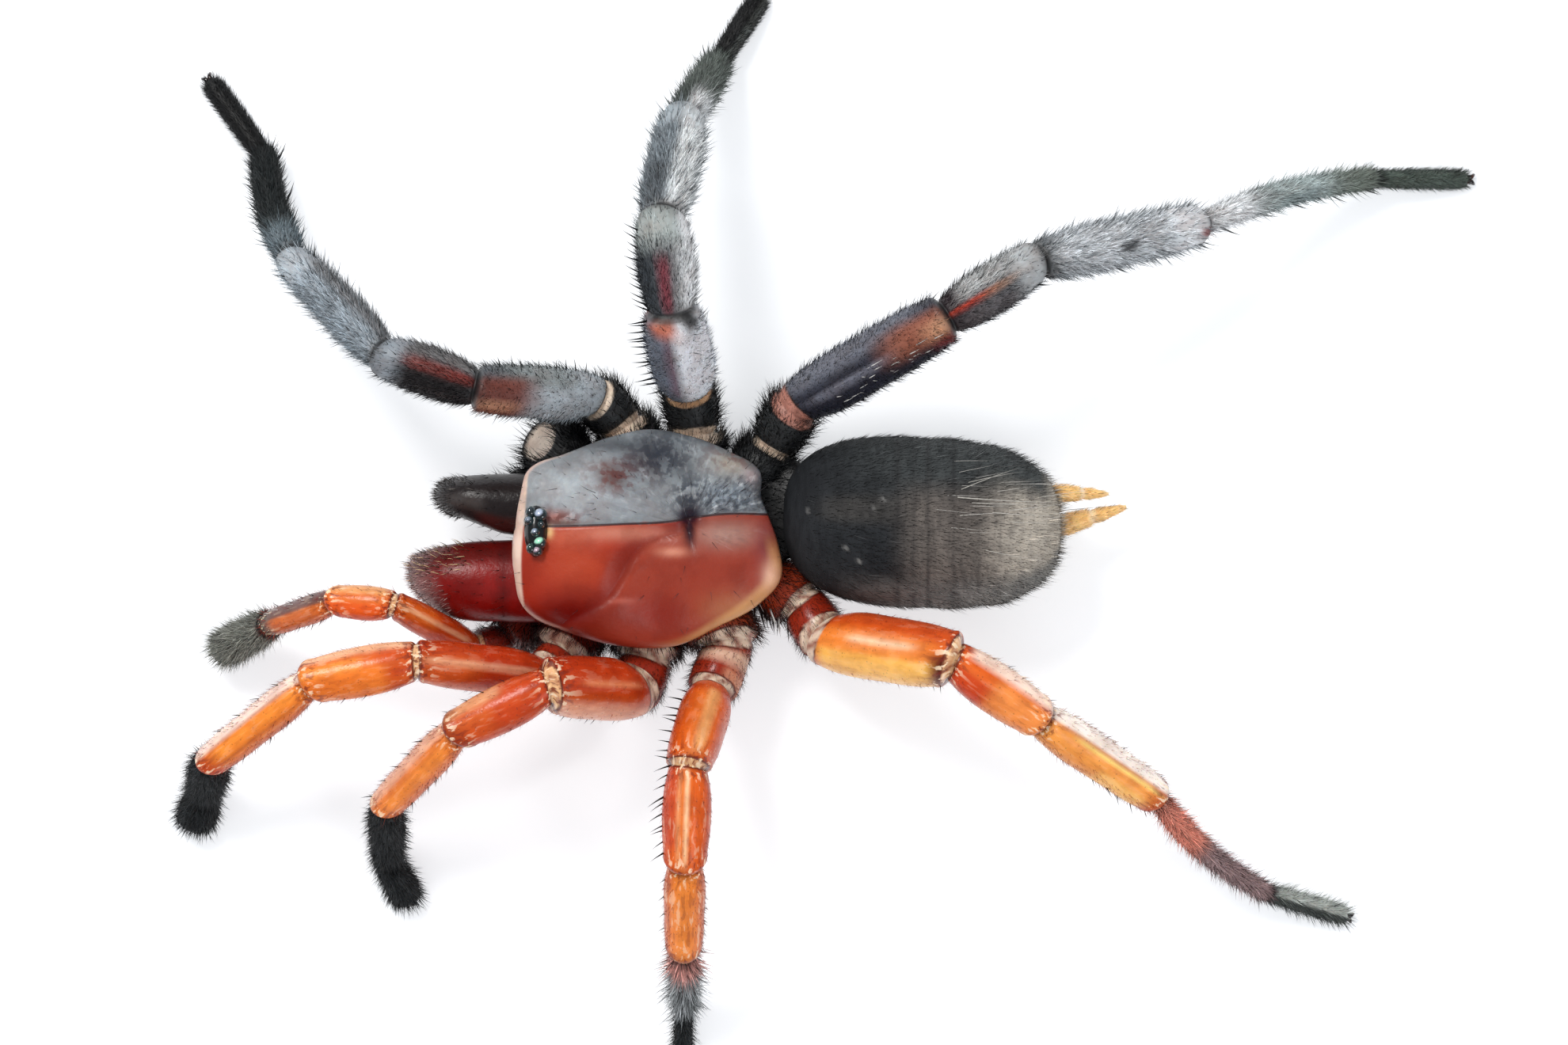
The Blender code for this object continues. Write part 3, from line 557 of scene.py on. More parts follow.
def plan_limb(name):
    """Joints, directions and sizes of one limb."""
    place_x, place_z, side, path = LIMBS[name]
    kinds = PALP_KINDS if name.startswith("palp") else LEG_KINDS
    root, outward = hip(place_x, side)
    joints = [root + UP * place_z]
    for reach, turn, height, width in path:
        joint = joints[-1] + heading(turn) * reach
        joint[2] = TIP_HEIGHT * width if height is None else height
        joints.append(joint)
    runs = [unit(b - a) for a, b in zip(joints, joints[1:])]
    normals = [outward] + [unit(a + b) for a, b in zip(runs, runs[1:])] + [runs[-1]]
    widths = np.array([row[3] / 2.0 for row in path])
    return {"name": name, "kinds": kinds[:len(path)], "joints": joints, "runs": runs,
            "normals": normals, "outward": outward, "widths": widths,
            "depths": widths * [DEPTHS.get(kind, 1.0) for kind in kinds[:len(path)]],
            "bow": BOWS.get(name, 0.0)}


limbs = {name: plan_limb(name) for name in LIMBS}

# %% [markdown]
# ## One skin for each limb
# A real leg is hard tubes joined by soft membrane. One continuous tube can show both: it
# runs through all segments, closes into a narrow crease at each joint, and flares a
# little at the end of each hard tube. Stations crowd at the joints, where the form turns
# quickly, and are wide apart on the shafts.

# %% Shape the limb skins
SIDES = 36
KNEE = rgb(240, 190, 140)
LENSES = {
    "leg_left_1": {1: (0.3, CREAM), 2: (0.3, CREAM), 3: (0.07, KNEE)},
    "leg_left_2": {1: (0.34, CREAM), 2: (0.3, CREAM), 3: (0.1, KNEE)},
    "leg_left_3": {1: (0.34, CREAM), 2: (0.16, CREAM), 3: (0.06, KNEE)},
    "leg_left_4": {1: (0.24, CREAM), 2: (0.5, CREAM), 3: (0.12, KNEE)},
    "palp_left": {2: (0.1, TAN), 3: (0.05, KNEE)},
    "leg_right_2": {1: (0.34, CREAM), 2: (0.14, CREAM)},
    "leg_right_3": {1: (0.4, CREAM), 2: (0.24, TAN)},
    "leg_right_4": {1: (0.16, CREAM), 2: (0.46, SALMON)},
    "palp_right": {}, "leg_right_1": {},
}
NEAR_JOINT = (0.0, 0.04, 0.08, 0.13, 0.18, 0.24, 0.31, 0.39, 0.48, 0.6, 0.75)
STATION_STEP = 0.2
CREASE_DEPTH = 0.16
CREASE_WIDTH = 0.085
LIP_FLARE = 0.04
ARC_REACH = 0.24
ARC_WIDTH = 0.55
ANGLES = circle(SIDES)
MITRE = 0.4
STEEPEST = 0.62
KNEE_CEILING = 8.25
KNEE_EASE = 0.4


def stations(length, is_last):
    """Distances along a segment, crowded at both of its joints."""
    near = [d for d in NEAR_JOINT if d < 0.4 * length]
    middle = np.arange(near[-1], length - near[-1], STATION_STEP)[1:]
    far = [length - d for d in reversed(near)]
    return np.array(near + list(middle) + (far if is_last else far[:-1]))


def cross_ring(centre, run, normal, half_width, half_depth, turn_over=1.0):
    """Oval across a limb, slid along it onto a leaning plane."""
    side = unit(np.cross(run, UP)) * turn_over
    rise = np.cross(side, run)
    spokes = (np.outer(np.cos(ANGLES) * half_width, side)
              + np.outer(np.sin(ANGLES) * half_depth, rise))
    return centre + spokes - np.outer(spokes @ normal / max(run @ normal, STEEPEST), run)


def limb_skin(limb, slim, tip_tilt=0.0):
    """Rings of a limb, and for each ring its segment, share and distances to the joints."""
    rings, facts = [], []
    last = len(limb["kinds"]) - 1
    for i, kind in enumerate(limb["kinds"]):
        start, end = limb["joints"][i], limb["joints"][i + 1]
        run, length = limb["runs"][i], np.linalg.norm(end - start)
        side = unit(np.cross(run, UP))
        bow = limb["bow"] if kind == "metatarsus" else 0.0
        for distance in stations(length, i == last):
            share = distance / length
            if i == 0 and share < 0.5:
                continue
            normal = run
            if share < MITRE:
                normal = unit(limb["normals"][i] * (1 - share / MITRE) + run * share / MITRE)
            if 1.0 - share < MITRE:
                turn = 1.0 - (1.0 - share) / MITRE
                goal = limb["normals"][i + 1] + (UP * tip_tilt if i == last else 0.0)
                normal = unit(run * (1.0 - turn) + goal * turn)
            size = curve(share, GIRTHS[kind]) * slim
            half_width, half_depth = limb["widths"][i], limb["depths"][i]
            if distance == 0.0:
                size_before = GIRTHS[limb["kinds"][i - 1]][-1][1] * slim
                half_width = (half_width + limb["widths"][i - 1] * size_before / size) / 2.0
                half_depth = (half_depth + limb["depths"][i - 1] * size_before / size) / 2.0
            near = i if distance < length - distance else i + 1
            to_joint = min(distance, FAR if i == last else length - distance)
            if i < last:
                size *= 1.0 + LIP_FLARE * math.exp(-((length - distance - 0.22) / 0.1) ** 2)
            centre = start + run * distance + side * (bow * math.sin(math.pi * share))
            doubled_back = -1.0 if run @ limb["runs"][0] < -0.5 else 1.0
            ring = cross_ring(centre, run, normal, half_width * size, half_depth * size,
                              doubled_back)
            bare = LENSES[limb["name"]].get(near, (0.0, None))[0]
            bare = min(1.0, bare * 4.0) * np.clip(np.sin(ANGLES), 0.0, 1.0)
            foot = 0.2 if near >= len(limb["kinds"]) - 1 else 1.0
            pinch = foot * CREASE_DEPTH * math.exp(-(to_joint / CREASE_WIDTH) ** 2) * (1.0 - bare)
            ring += (ring.mean(axis=0) - ring) * pinch[:, None]
            arc = ARC_REACH * math.exp(-(to_joint / ARC_WIDTH) ** 2) * (near > 2)
            ring += np.outer(arc * np.clip(np.sin(ANGLES), 0.0, 1.0) ** 0.7, run)
            rings.append(ring)
            facts.append((i, share, distance, length - distance))
    if tip_tilt:
        middle = rings[-1].mean(axis=0)
        for shrink, sunk in ((0.93, 0.0), (0.84, 0.07), (0.55, 0.1), (0.2, 0.06)):
            rings.append(middle + (rings[-1] - middle) * shrink / (1.0 if shrink > 0.9 else 1.05)
                         - limb["runs"][-1] * sunk)
            facts.append((last, 1.3 if shrink < 0.9 else 1.0, FAR, FAR))
    width = limb["widths"][0] * slim
    across = np.cross(limb["outward"], UP)
    root = (limb["joints"][0] + np.outer(np.cos(ANGLES) * width * 0.84, across)
            + np.outer(np.sin(ANGLES) * width, UP))
    starts = [root - limb["outward"] * 0.5]
    starts += [root * (1.0 - t) + rings[0] * t for t in (0.0, 0.25, 0.5, 0.75)]
    facts = [(0, t, FAR, FAR) for t in (0.0, 0.0, 0.12, 0.25, 0.37)] + facts
    rings = np.array(starts + rings)
    rings[:, :, 2] = np.maximum(rings[:, :, 2], 0.0)
    over = np.maximum(rings[:, :, 2] - KNEE_CEILING + KNEE_EASE, 0.0)
    rings[:, :, 2] += KNEE_EASE * np.tanh(over / KNEE_EASE) - over
    return rings, np.array(facts)


sample = limb_skin(limbs["leg_left_4"], 1.0)
print("the left hind leg has", len(sample[0]), "rings of", SIDES, "points")

# %% [markdown]
# ## Markings of the limbs
# Markings follow the limb: a stripe runs along a segment, a patch covers its last third.
# So each marking is one stroke in limb terms, under the name of its segment: from which
# share of its length to which, a colour, a strength and, where it doesn't go all round,
# from which side to which. Side 1 is the right of the limb's heading, -1 the left and 0
# its back. Some strokes are painted light instead: narrow pale stripes are painted
# highlights and glow. The orange femora, patellae and tibiae also get painted shade along
# both edges and a painted glow along the middle. Soft lenses of bare membrane open on the
# back of the joints, a dark seam lies in each crease, and fine cracks break up the orange
# shell beside it and, on the left third leg, all the way down the tibia; their pale flecks
# are painted glints.

# %% Markings
ORANGE_BASE = {"coxa": rgb(104, 30, 18), "trochanter": rgb(150, 44, 24), "femur": ORANGE,
               "patella": ORANGE, "tibia": BRIGHT_ORANGE, "metatarsus": SOOT, "tarsus": SOOT}
GREY_BASE = {"coxa": SOOT, "trochanter": SOOT, "femur": SLATE, "patella": SLATE,
             "tibia": ASH, "metatarsus": OLIVE_GREY, "tarsus": BLACK}
ALL_ROUND = (-1.5, 1.5)
# Painted light among the strokes: narrow near-white and pale orange stripes along the orange femora,
# patellae and the left fourth tibia are painted highlights, the pale yellow lower side of the left
# fourth femur is painted glow, and the pale blue-grey streak on the right fourth femur is a painted
# reflection.
STROKES = {
    "leg_left_1": {
        "femur": ((-0.1, 1.1, rgb(182, 66, 30), 0.5), (0.0, 0.6, RED_ORANGE, 0.8),
            # The near-white stripe along the middle of this femur is a painted highlight.
            (0.5, 1.1, RED_ORANGE, 0.5, 0.3, 1.5), (0.15, 0.95, rgb(250, 206, 166), 0.6, 0.0, 0.2),
            (0.3, 1.0, rgb(224, 128, 88), 0.55, -1.5, -0.75)),
        "patella": ((-0.1, 0.35, RED_ORANGE, 0.55, -0.5, 0.8),
            (0.05, 1.0, rgb(250, 204, 160), 0.7, 0.72, 1.5),
            (0.3, 1.1, BRIGHT_ORANGE, 0.8, -1.5, 0.1), (0.5, 1.0, rgb(250, 160, 66), 0.6, 0.1, 0.6)),
        "tibia": ((0.0, 1.1, rgb(92, 34, 20), 0.75, 0.42, 0.5),
            (-0.1, 1.1, rgb(240, 214, 200), 0.95, 0.52, 1.5),
            (0.1, 0.95, rgb(120, 50, 24), 0.55, -0.5, -0.42),
            (0.1, 0.9, rgb(252, 150, 52), 0.6, -0.3, 0.3), (0.88, 1.1, RED_ORANGE, 0.8, -1.5, 0.4))},
    "leg_left_2": {
        "femur": ((-0.1, 1.1, rgb(170, 60, 28), 0.5), (0.0, 1.0, RED_ORANGE, 0.75, -0.2, 1.5),
            (0.0, 1.1, rgb(226, 160, 124), 0.8, -1.5, -0.5),
            (0.2, 0.8, rgb(248, 170, 120), 0.5, 0.1, 0.3)),
        "patella": ((-0.1, 1.1, rgb(190, 66, 26), 0.55), (0.0, 0.6, RED_ORANGE, 0.55, -0.7, 0.7),
            (0.45, 1.1, rgb(244, 200, 150), 0.5, 0.55, 1.5), (0.9, 1.1, WINE, 0.4)),
        "tibia": ((-0.1, 1.1, rgb(220, 112, 50), 0.5, -1.5, 0.4),
            (0.0, 1.05, rgb(232, 186, 160), 0.75, 0.45, 1.5),
            (0.1, 0.9, rgb(250, 150, 60), 0.6, -0.6, 0.1))},
    "leg_left_3": {
        "coxa": ((0.3, 1.1, rgb(196, 84, 46), 0.7),),
        "trochanter": ((0.25, 0.5, rgb(236, 206, 180), 0.7),
            (0.6, 0.95, rgb(226, 168, 134), 0.6, -1.5, -0.2)),
        "femur": ((0.0, 0.25, RED_ORANGE, 0.55), (0.2, 0.92, rgb(244, 186, 120), 0.75, -0.4, 0.05)),
        "patella": ((0.0, 0.8, rgb(196, 72, 44), 0.75, 0.4, 1.5),
            (0.05, 0.9, rgb(252, 226, 180), 0.8, -0.12, 0.02),
            (0.05, 0.9, rgb(252, 216, 160), 0.6, 0.25, 0.34)),
        "tibia": ((0.0, 1.0, rgb(242, 140, 56), 0.6, -0.6, 0.6), (0.93, 1.1, WINE, 0.6)),
        "metatarsus": ((-0.1, 0.4, rgb(224, 160, 150), 0.95), (0.35, 1.1, rgb(176, 180, 182), 0.95))},
    "leg_left_4": {
        "coxa": ((0.2, 1.1, rgb(176, 64, 32), 0.8),),
        "femur": ((-0.1, 1.1, rgb(214, 84, 34), 0.8, -1.5, -0.6),
            (0.05, 0.92, rgb(246, 146, 62), 0.7, -0.45, 0.5),
            # Painted glow: the pale yellow lower side. Painted highlight: the near-white stripe after
            # it.
            (0.1, 0.95, rgb(255, 198, 100), 0.9, 0.25, 1.5),
            (0.35, 0.8, rgb(255, 236, 200), 0.7, -0.3, -0.05),
            (0.92, 1.1, rgb(60, 16, 14), 0.95, -0.1, 0.95)),
        "patella": ((0.0, 0.6, rgb(196, 56, 20), 0.8, 0.0, 0.9),
            (0.15, 1.1, rgb(250, 226, 208), 0.9, -1.5, -0.5),
            (0.45, 1.1, rgb(242, 150, 76), 0.8, -0.4, 1.5)),
        "tibia": ((-0.1, 1.1, rgb(250, 240, 230), 0.97, -1.5, -0.38),
            (-0.1, 0.92, rgb(248, 166, 80), 0.75, -0.35, 1.5),
            (0.5, 0.9, rgb(255, 206, 120), 0.6, 0.4, 1.5),
            (0.15, 1.0, rgb(120, 60, 30), 0.5, -0.42, -0.34),
            (0.25, 1.0, rgb(255, 222, 130), 0.9, -0.3, -0.12),
            (0.92, 1.1, rgb(176, 50, 24), 0.7, -0.4, 1.5)),
        "metatarsus": ((-0.1, 0.5, rgb(240, 156, 134), 0.97), (0.45, 1.1, rgb(170, 142, 142), 0.95)),
        "tarsus": ((-0.1, 1.1, rgb(84, 90, 86), 0.9),
            (0.0, 1.1, rgb(196, 202, 196), 0.95, -1.5, 0.1))},
    "palp_left": {
        "trochanter": ((0.0, 1.1, WINE, 0.5),),
        "femur": ((0.0, 0.6, RED_ORANGE, 0.7), (0.2, 1.0, rgb(252, 206, 160), 0.6, 0.1, 0.35)),
        "patella": ((0.0, 1.1, rgb(232, 92, 34), 0.6, -1.5, 0.0),
            (0.1, 1.0, rgb(250, 196, 130), 0.6, 0.5, 1.5)),
        "tibia": ((-0.1, 1.1, rgb(206, 100, 44), 0.7, -1.5, 0.3),
            (-0.1, 1.1, rgb(96, 74, 74), 0.95, 0.25, 1.5),
            (0.1, 0.9, rgb(90, 34, 30), 0.7, 0.2, 0.3), (0.87, 1.1, rgb(110, 108, 100), 0.95)),
        "tarsus": ((-0.1, 1.1, rgb(108, 110, 102), 0.95),)},
    "leg_right_2": {
        "femur": ((0.0, 0.75, rgb(176, 184, 190), 0.9),
            (0.3, 0.85, rgb(104, 112, 108), 0.6, 0.2, 1.5),
            (0.66, 1.1, rgb(118, 54, 38), 0.9, -1.5, 0.5),
            (0.74, 1.0, rgb(198, 146, 116), 0.8, -0.9, -0.5)),
        "patella": ((0.0, 0.85, rgb(30, 26, 28), 0.97, -1.5, 0.3),
            (0.0, 0.85, rgb(116, 114, 114), 0.85, 0.4, 1.5),
            (-0.1, 0.76, rgb(118, 34, 24), 0.95, -0.05, 0.45),
            (0.78, 1.1, rgb(142, 150, 158), 0.95)),
        "tibia": ((0.0, 1.1, rgb(164, 176, 186), 0.8),
            (0.0, 0.9, rgb(112, 106, 104), 0.7, 0.45, 1.5),
            (0.82, 1.1, rgb(190, 202, 210), 0.9, -1.5, 0.5)),
        "metatarsus": ((-0.1, 0.3, rgb(120, 134, 142), 0.9), (0.3, 1.1, rgb(24, 30, 32), 0.95))},
    "leg_right_3": {
        "femur": ((0.0, 1.1, rgb(240, 244, 250), 0.97, -0.25, 1.5),
            (0.0, 1.1, rgb(120, 128, 142), 0.97, -1.5, -0.25),
            (0.2, 0.9, rgb(132, 92, 108), 0.6, -0.5, -0.25),
            (0.9, 1.1, rgb(212, 118, 88), 0.97, -0.85, 0.0), (0.9, 1.1, BLACK, 0.95, 0.35, 0.9)),
        "patella": ((0.0, 0.75, rgb(44, 50, 56), 0.95, -1.5, -0.35),
            (0.0, 0.55, rgb(128, 48, 62), 0.95, -0.35, 0.1),
            (0.0, 0.8, rgb(150, 152, 154), 0.9, 0.2, 1.5),
            (0.05, 1.1, rgb(226, 228, 230), 0.9, 0.55, 1.5),
            (0.66, 1.1, rgb(166, 174, 172), 0.9, -1.5, 0.6)),
        "tibia": ((0.0, 1.1, rgb(140, 150, 157), 0.95, -1.5, 0.0),
            (0.05, 0.4, rgb(50, 54, 58), 0.7, -0.9, -0.2),
            (0.0, 1.1, rgb(238, 241, 242), 0.95, 0.0, 1.5), (0.8, 1.1, rgb(164, 176, 182), 0.6)),
        "metatarsus": ((-0.1, 0.35, rgb(226, 228, 230), 0.9, -0.3, 1.5),
            (0.3, 1.1, rgb(104, 112, 106), 0.8)),
        "tarsus": ((0.0, 1.1, rgb(104, 110, 106), 0.8, 0.3, 1.5),)},
    "leg_right_4": {
        "femur": ((-0.1, 1.1, rgb(40, 42, 56), 1.0),
            (0.05, 0.9, rgb(112, 116, 128), 0.85, -1.5, -0.3),
            # The pale blue-grey streak along the middle is a painted reflection.
            (0.15, 0.7, rgb(160, 164, 180), 0.45, 0.1, 0.35),
            (0.68, 1.1, rgb(150, 88, 66), 0.95, -0.55, 0.6),
            (0.9, 1.1, rgb(214, 160, 124), 0.9, -0.1, 0.6),
            (0.9, 1.1, rgb(140, 40, 30), 0.8, 0.62, 0.95)),
        "patella": ((-0.1, 0.3, rgb(50, 34, 40), 0.95),
            (0.2, 0.9, rgb(184, 186, 186), 0.88, -1.5, -0.2),
            (-0.1, 0.5, rgb(196, 56, 24), 0.95, -0.1, 0.15),
            (0.4, 0.9, rgb(184, 138, 108), 0.7, -0.1, 0.2),
            (0.1, 0.9, rgb(104, 98, 100), 0.8, 0.35, 1.5), (0.7, 1.1, rgb(170, 174, 176), 0.85)),
        "tibia": ((-0.1, 1.1, rgb(216, 220, 224), 0.97), (-0.1, 0.08, rgb(70, 74, 76), 0.8),
            (0.45, 0.56, BLACK, 0.95, 0.1, 0.5), (0.94, 1.02, rgb(140, 30, 30), 0.9, 0.3, 0.7)),
        "metatarsus": ((-0.1, 0.35, rgb(232, 234, 236), 0.97), (0.35, 0.8, rgb(186, 198, 198), 0.9),
            (0.45, 0.7, rgb(132, 148, 150), 0.7, 0.2, 1.0), (0.75, 1.1, rgb(140, 150, 140), 0.7)),
        "tarsus": ((0.0, 1.1, rgb(96, 108, 100), 0.9),)},
    "palp_right": {},
    "leg_right_1": {
        "coxa": ((-0.1, 1.6, BLACK, 1.0), (1.15, 1.6, rgb(226, 208, 190), 1.0))},
}


def limb_places(rings, facts):
    """Kind, share, side and joint distances as full grids, one value for each point."""
    rows, sides = rings.shape[:2]
    grid = [np.repeat(facts[:, column, None], sides, axis=1) for column in range(4)]
    return grid + [np.tile(np.cos(ANGLES), (rows, 1)), np.tile(np.sin(ANGLES), (rows, 1))]


ORANGE_SOFTNESS = (0.14, 0.3)
GREY_SOFTNESS = (0.24, 0.5)
CRACKLED = {"leg_left_3": 0.38}
JOINT_CRACKLE = 0.75


def paint_limb(limb, rings, facts):
    """Colour and wetness of every point of a limb's skin."""
    index, share, before, after, across, top = limb_places(rings, facts)
    orange = "left" in limb["name"]
    base = ORANGE_BASE if orange else GREY_BASE
    soft_along, soft_across = ORANGE_SOFTNESS if orange else GREY_SOFTNESS
    tone = np.zeros(rings.shape)
    for i, kind in enumerate(limb["kinds"]):
        tone[index == i] = base[kind]
        # Painted shade darkens both edges of each orange femur, patella and tibia, and a painted glow
        # lightens a stripe along the middle.
        if orange and kind in ("femur", "patella", "tibia"):
            tone = brush(tone, (index == i) * soft_step(np.abs(across), 0.78, 0.5) * 0.6,
                         rgb(160, 44, 18))
            tone = brush(tone, (index == i) * bell(across - 0.15, 0.3) * 0.25, PAINTED_GLOW)
        for start, end, colour, strength, *sides in STROKES[limb["name"]].get(kind, ()):
            low, high = sides or ALL_ROUND
            along = window(share, start, end, min(soft_along, 0.7 * (end - start)))
            over = window(across, low, high, min(soft_across, 0.7 * (high - low)))
            tone = brush(tone, along * over * strength * (index == i), colour)
    wet = np.where(index < 5, 0.75 if orange else 0.35, 0.1)
    lenses = LENSES[limb["name"]]
    for joint in range(1, len(limb["kinds"])):
        dark = rgb(84, 22, 14) if orange and joint < 5 else BLACK
        gap = np.where(index == joint, before, np.where(index == joint - 1, after, FAR))
        seam = bell(gap, 0.06 if orange or joint < 4 else 0.12) * 0.97
        tone = brush(tone, bell(gap, 0.26) * (0.3 if orange else 0.5), dark)
        if joint in lenses:
            half_length, colour = lenses[joint]
            open_part = half_length * np.clip(top, 0.0, 1.0) ** 0.6
            bare = window(gap, -1.0, open_part, 0.05) * (top > 0.05)
            tone = brush(tone, window(gap, -1.0, open_part + 0.07, 0.06) * (top > 0.02), dark)
            fold = 0.5 + 0.5 * np.cos(across * 9.0 + gap / half_length * 3.0 + joint)
            tone = brush(tone, bare, colour)
            crease = rgb(138, 48, 28) if orange else colour * 0.3
            tone = brush(tone, bare * fold ** (2 + (joint > 2)) * (0.8 if orange else 0.4), crease)
            seam = seam * (1.0 - np.clip(bare * 1.2, 0.0, 1.0))
        tone = brush(tone, seam, dark)
    # This mask carries both the fine cracks and the painted glints, near the joints and down the left
    # third tibia.
    joint_gap = np.minimum(np.where(index > 2, before, FAR), np.where(index > 1, after, FAR))
    crackle_and_glint = bell(joint_gap, 0.55) * JOINT_CRACKLE + 0.07 * (index > 1)
    if limb["name"] in CRACKLED:
        crackle_and_glint = np.maximum(crackle_and_glint, CRACKLED[limb["name"]] * soft_step(index + share, 3.5, 3.9))
    crackle_and_glint = crackle_and_glint * (index < 5) * orange * soft_step(top, -0.2, 0.6)
    return np.clip(tone, 0.0, 1.0), wet, crackle_and_glint


stroke_count = sum(len(rows) for segments in STROKES.values() for rows in segments.values())
print(stroke_count, "strokes for", len(STROKES), "limbs")

# %% Build the limb skins
SLIM = {"left": 0.97, "right": 0.96}
TIP_TILT = {"leg_right_1": 0.5}
skins = {}
for name, limb in limbs.items():
    half = "left" if "left" in name else "right"
    rings, facts = limb_skin(limb, SLIM[half], TIP_TILT.get(name, 0.0))
    tone, wet, crackle_and_glint = paint_limb(limb, rings, facts)
    material = orange_chitin if half == "left" else grey_chitin
    skin = tube(name + "_skin", rings, {"tone": tone, "wet": wet, "crackle_and_glint": crackle_and_glint}, material)
    skins[name] = (skin, rings, facts, tone)
    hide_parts(*[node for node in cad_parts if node.startswith(name + "_")])
    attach(skin, "root")
print("limb skins:", ", ".join(skins))

# %% [markdown]
# ## The under part and the waist
# Below the shield the legs meet in a hairy, dark-red block with the breast plate at its
# foot. It is mostly hidden, but side views show it between the coxae, and its dark
# colour makes the leg roots read. The waist is a short black tube, made wide enough to
# also stand in as painted shade between the shield and the hind body.

# %% Under part and waist
CORE_SIDES = 96
CORE_PROFILE = ((0.3, 1.52), (0.62, 1.5), (0.8, 1.56), (0.93, 1.82), (0.985, 2.2), (1.0, 2.6),
                (0.985, 3.1), (0.97, 3.5), (0.94, 3.8), (0.8, 3.95), (0.4, 4.0))
turns = circle(CORE_SIDES)
core_rings = np.array([[CORE_CENTRE + (core_edge(turn)[0] - CORE_CENTRE) * share * 0.985
                        + UP * height for turn in turns] for share, height in CORE_PROFILE])
core_male = soft_step(core_rings[..., 1], 0.25, 0.5)
core_tone = brush(np.broadcast_to(rgb(120, 40, 28), core_rings.shape), core_male, SOOT)
core_skin = tube("under_part", core_rings,
                 {"tone": core_tone, "wet": np.full(core_male.shape, 0.3)}, orange_chitin)
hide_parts("sternum")
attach(core_skin, "root")

# The waist is much wider than the real stalk, black and hairy, so it also stands in as painted shade
# under the shield's rear and the hind body's front.
WAIST_AND_SHADE = ((-3.2, 0.7, 1.2, 0.5), (-2.6, 0.9, 1.7, 0.55), (-1.9, 1.05, 1.95, 0.5),
         (-1.4, 1.1, 1.9, 0.5), (-0.9, 1.15, 1.7, 0.6), (-0.3, 1.2, 1.3, 0.8))
waist_and_shade_rings = np.array([np.array((x, y, 3.1)) + np.outer(np.cos(ANGLES), (0.0, half_width, 0.0))
                        + np.outer(np.sin(ANGLES), (0.0, 0.0, half_height))
                        for x, y, half_width, half_height in WAIST_AND_SHADE])
waist_and_shade = tube("waist_and_shade_skin", waist_and_shade_rings,
             {"tone": np.broadcast_to(BLACK, waist_and_shade_rings.shape),
              "wet": np.full(waist_and_shade_rings.shape[:2], 0.5)}, grey_chitin)
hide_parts("pedicel")
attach(waist_and_shade, "root")
print("under part and waist closed")

# %% [markdown]
# ## The shield
# The carapace is one hard plate. Its outline and dome follow the solid, which is wider
# on the female half. Over that shape go its real landmarks: the pit in the middle where
# a muscle pulls from inside, the groove that runs forward from it round the raised head,
# shallow furrows towards each leg, a seam where the two halves meet and a pale lip over
# the jaws. The grid is polar, so its rings follow the margin.

# %% Shield shape
SHIELD_SIDES = 320
SHIELD_ROWS = 72
SHIELD_CENTRE = np.array((-6.2, 0.45, 0.0))
SHIELD_BOTTOM = 3.9
SHIELD_RIM = 0.25
SHIELD_POWER = 2.6
HEAD_RISE = 1.8
THORAX_RISE = 1.15
SHIELD_OUTLINE = ((-180, 4.62), (-165, 4.9), (-146, 5.2), (-128, 4.68), (-102, 4.32), (-76, 4.36),
                  (-52, 4.42), (-35, 4.86), (-20, 5.16), (-8, 4.8), (5, 4.42), (15, 4.28), (25, 4.54),
                  (42, 4.02), (65, 3.6), (88, 3.48), (112, 3.44), (138, 3.88), (154, 4.62),
                  (166, 4.6), (180, 4.62))
PIT = np.array((-4.62, 0.46))
SEAM = ((-11.0, 0.5), (-9.5, 0.48), (-7.0, 0.56), (-5.2, 0.66), (-4.4, 0.8), (-3.6, 0.9),
        (-1.0, 0.86))
LEFT_GROOVE = ((-4.75, 0.22), (-5.54, 0.05), (-6.5, -0.6), (-7.0, -1.45), (-7.55, -2.2),
               (-8.7, -2.85), (-9.7, -3.3))
RIGHT_GROOVE = ((-4.8, 1.1), (-5.7, 1.35), (-6.5, 1.95), (-7.3, 2.5), (-8.6, 2.95))


def shield_reach(turn):
    """Distance from the shield's centre to its margin."""
    return curve(np.degrees(np.arctan2(np.sin(turn), np.cos(turn))), SHIELD_OUTLINE)


def path_distance(x, y, knots, count=120):
    """Distance from every point to a smooth path over a few knots."""
    places, values = np.array(knots).T
    steps = np.linspace(0.0, len(knots) - 1.0, count)
    line_x = curve(steps, tuple(enumerate(places)))
    line_y = curve(steps, tuple(enumerate(values)))
    nearest = np.full(x.shape, FAR)
    for point_x, point_y in zip(line_x, line_y):
        nearest = np.minimum(nearest, np.hypot(x - point_x, y - point_y))
    return nearest


def groove_x(y):
    """Place along the body of the female half's groove, for a place across it."""
    return curve(y, tuple((across, along) for along, across in reversed(LEFT_GROOVE)))


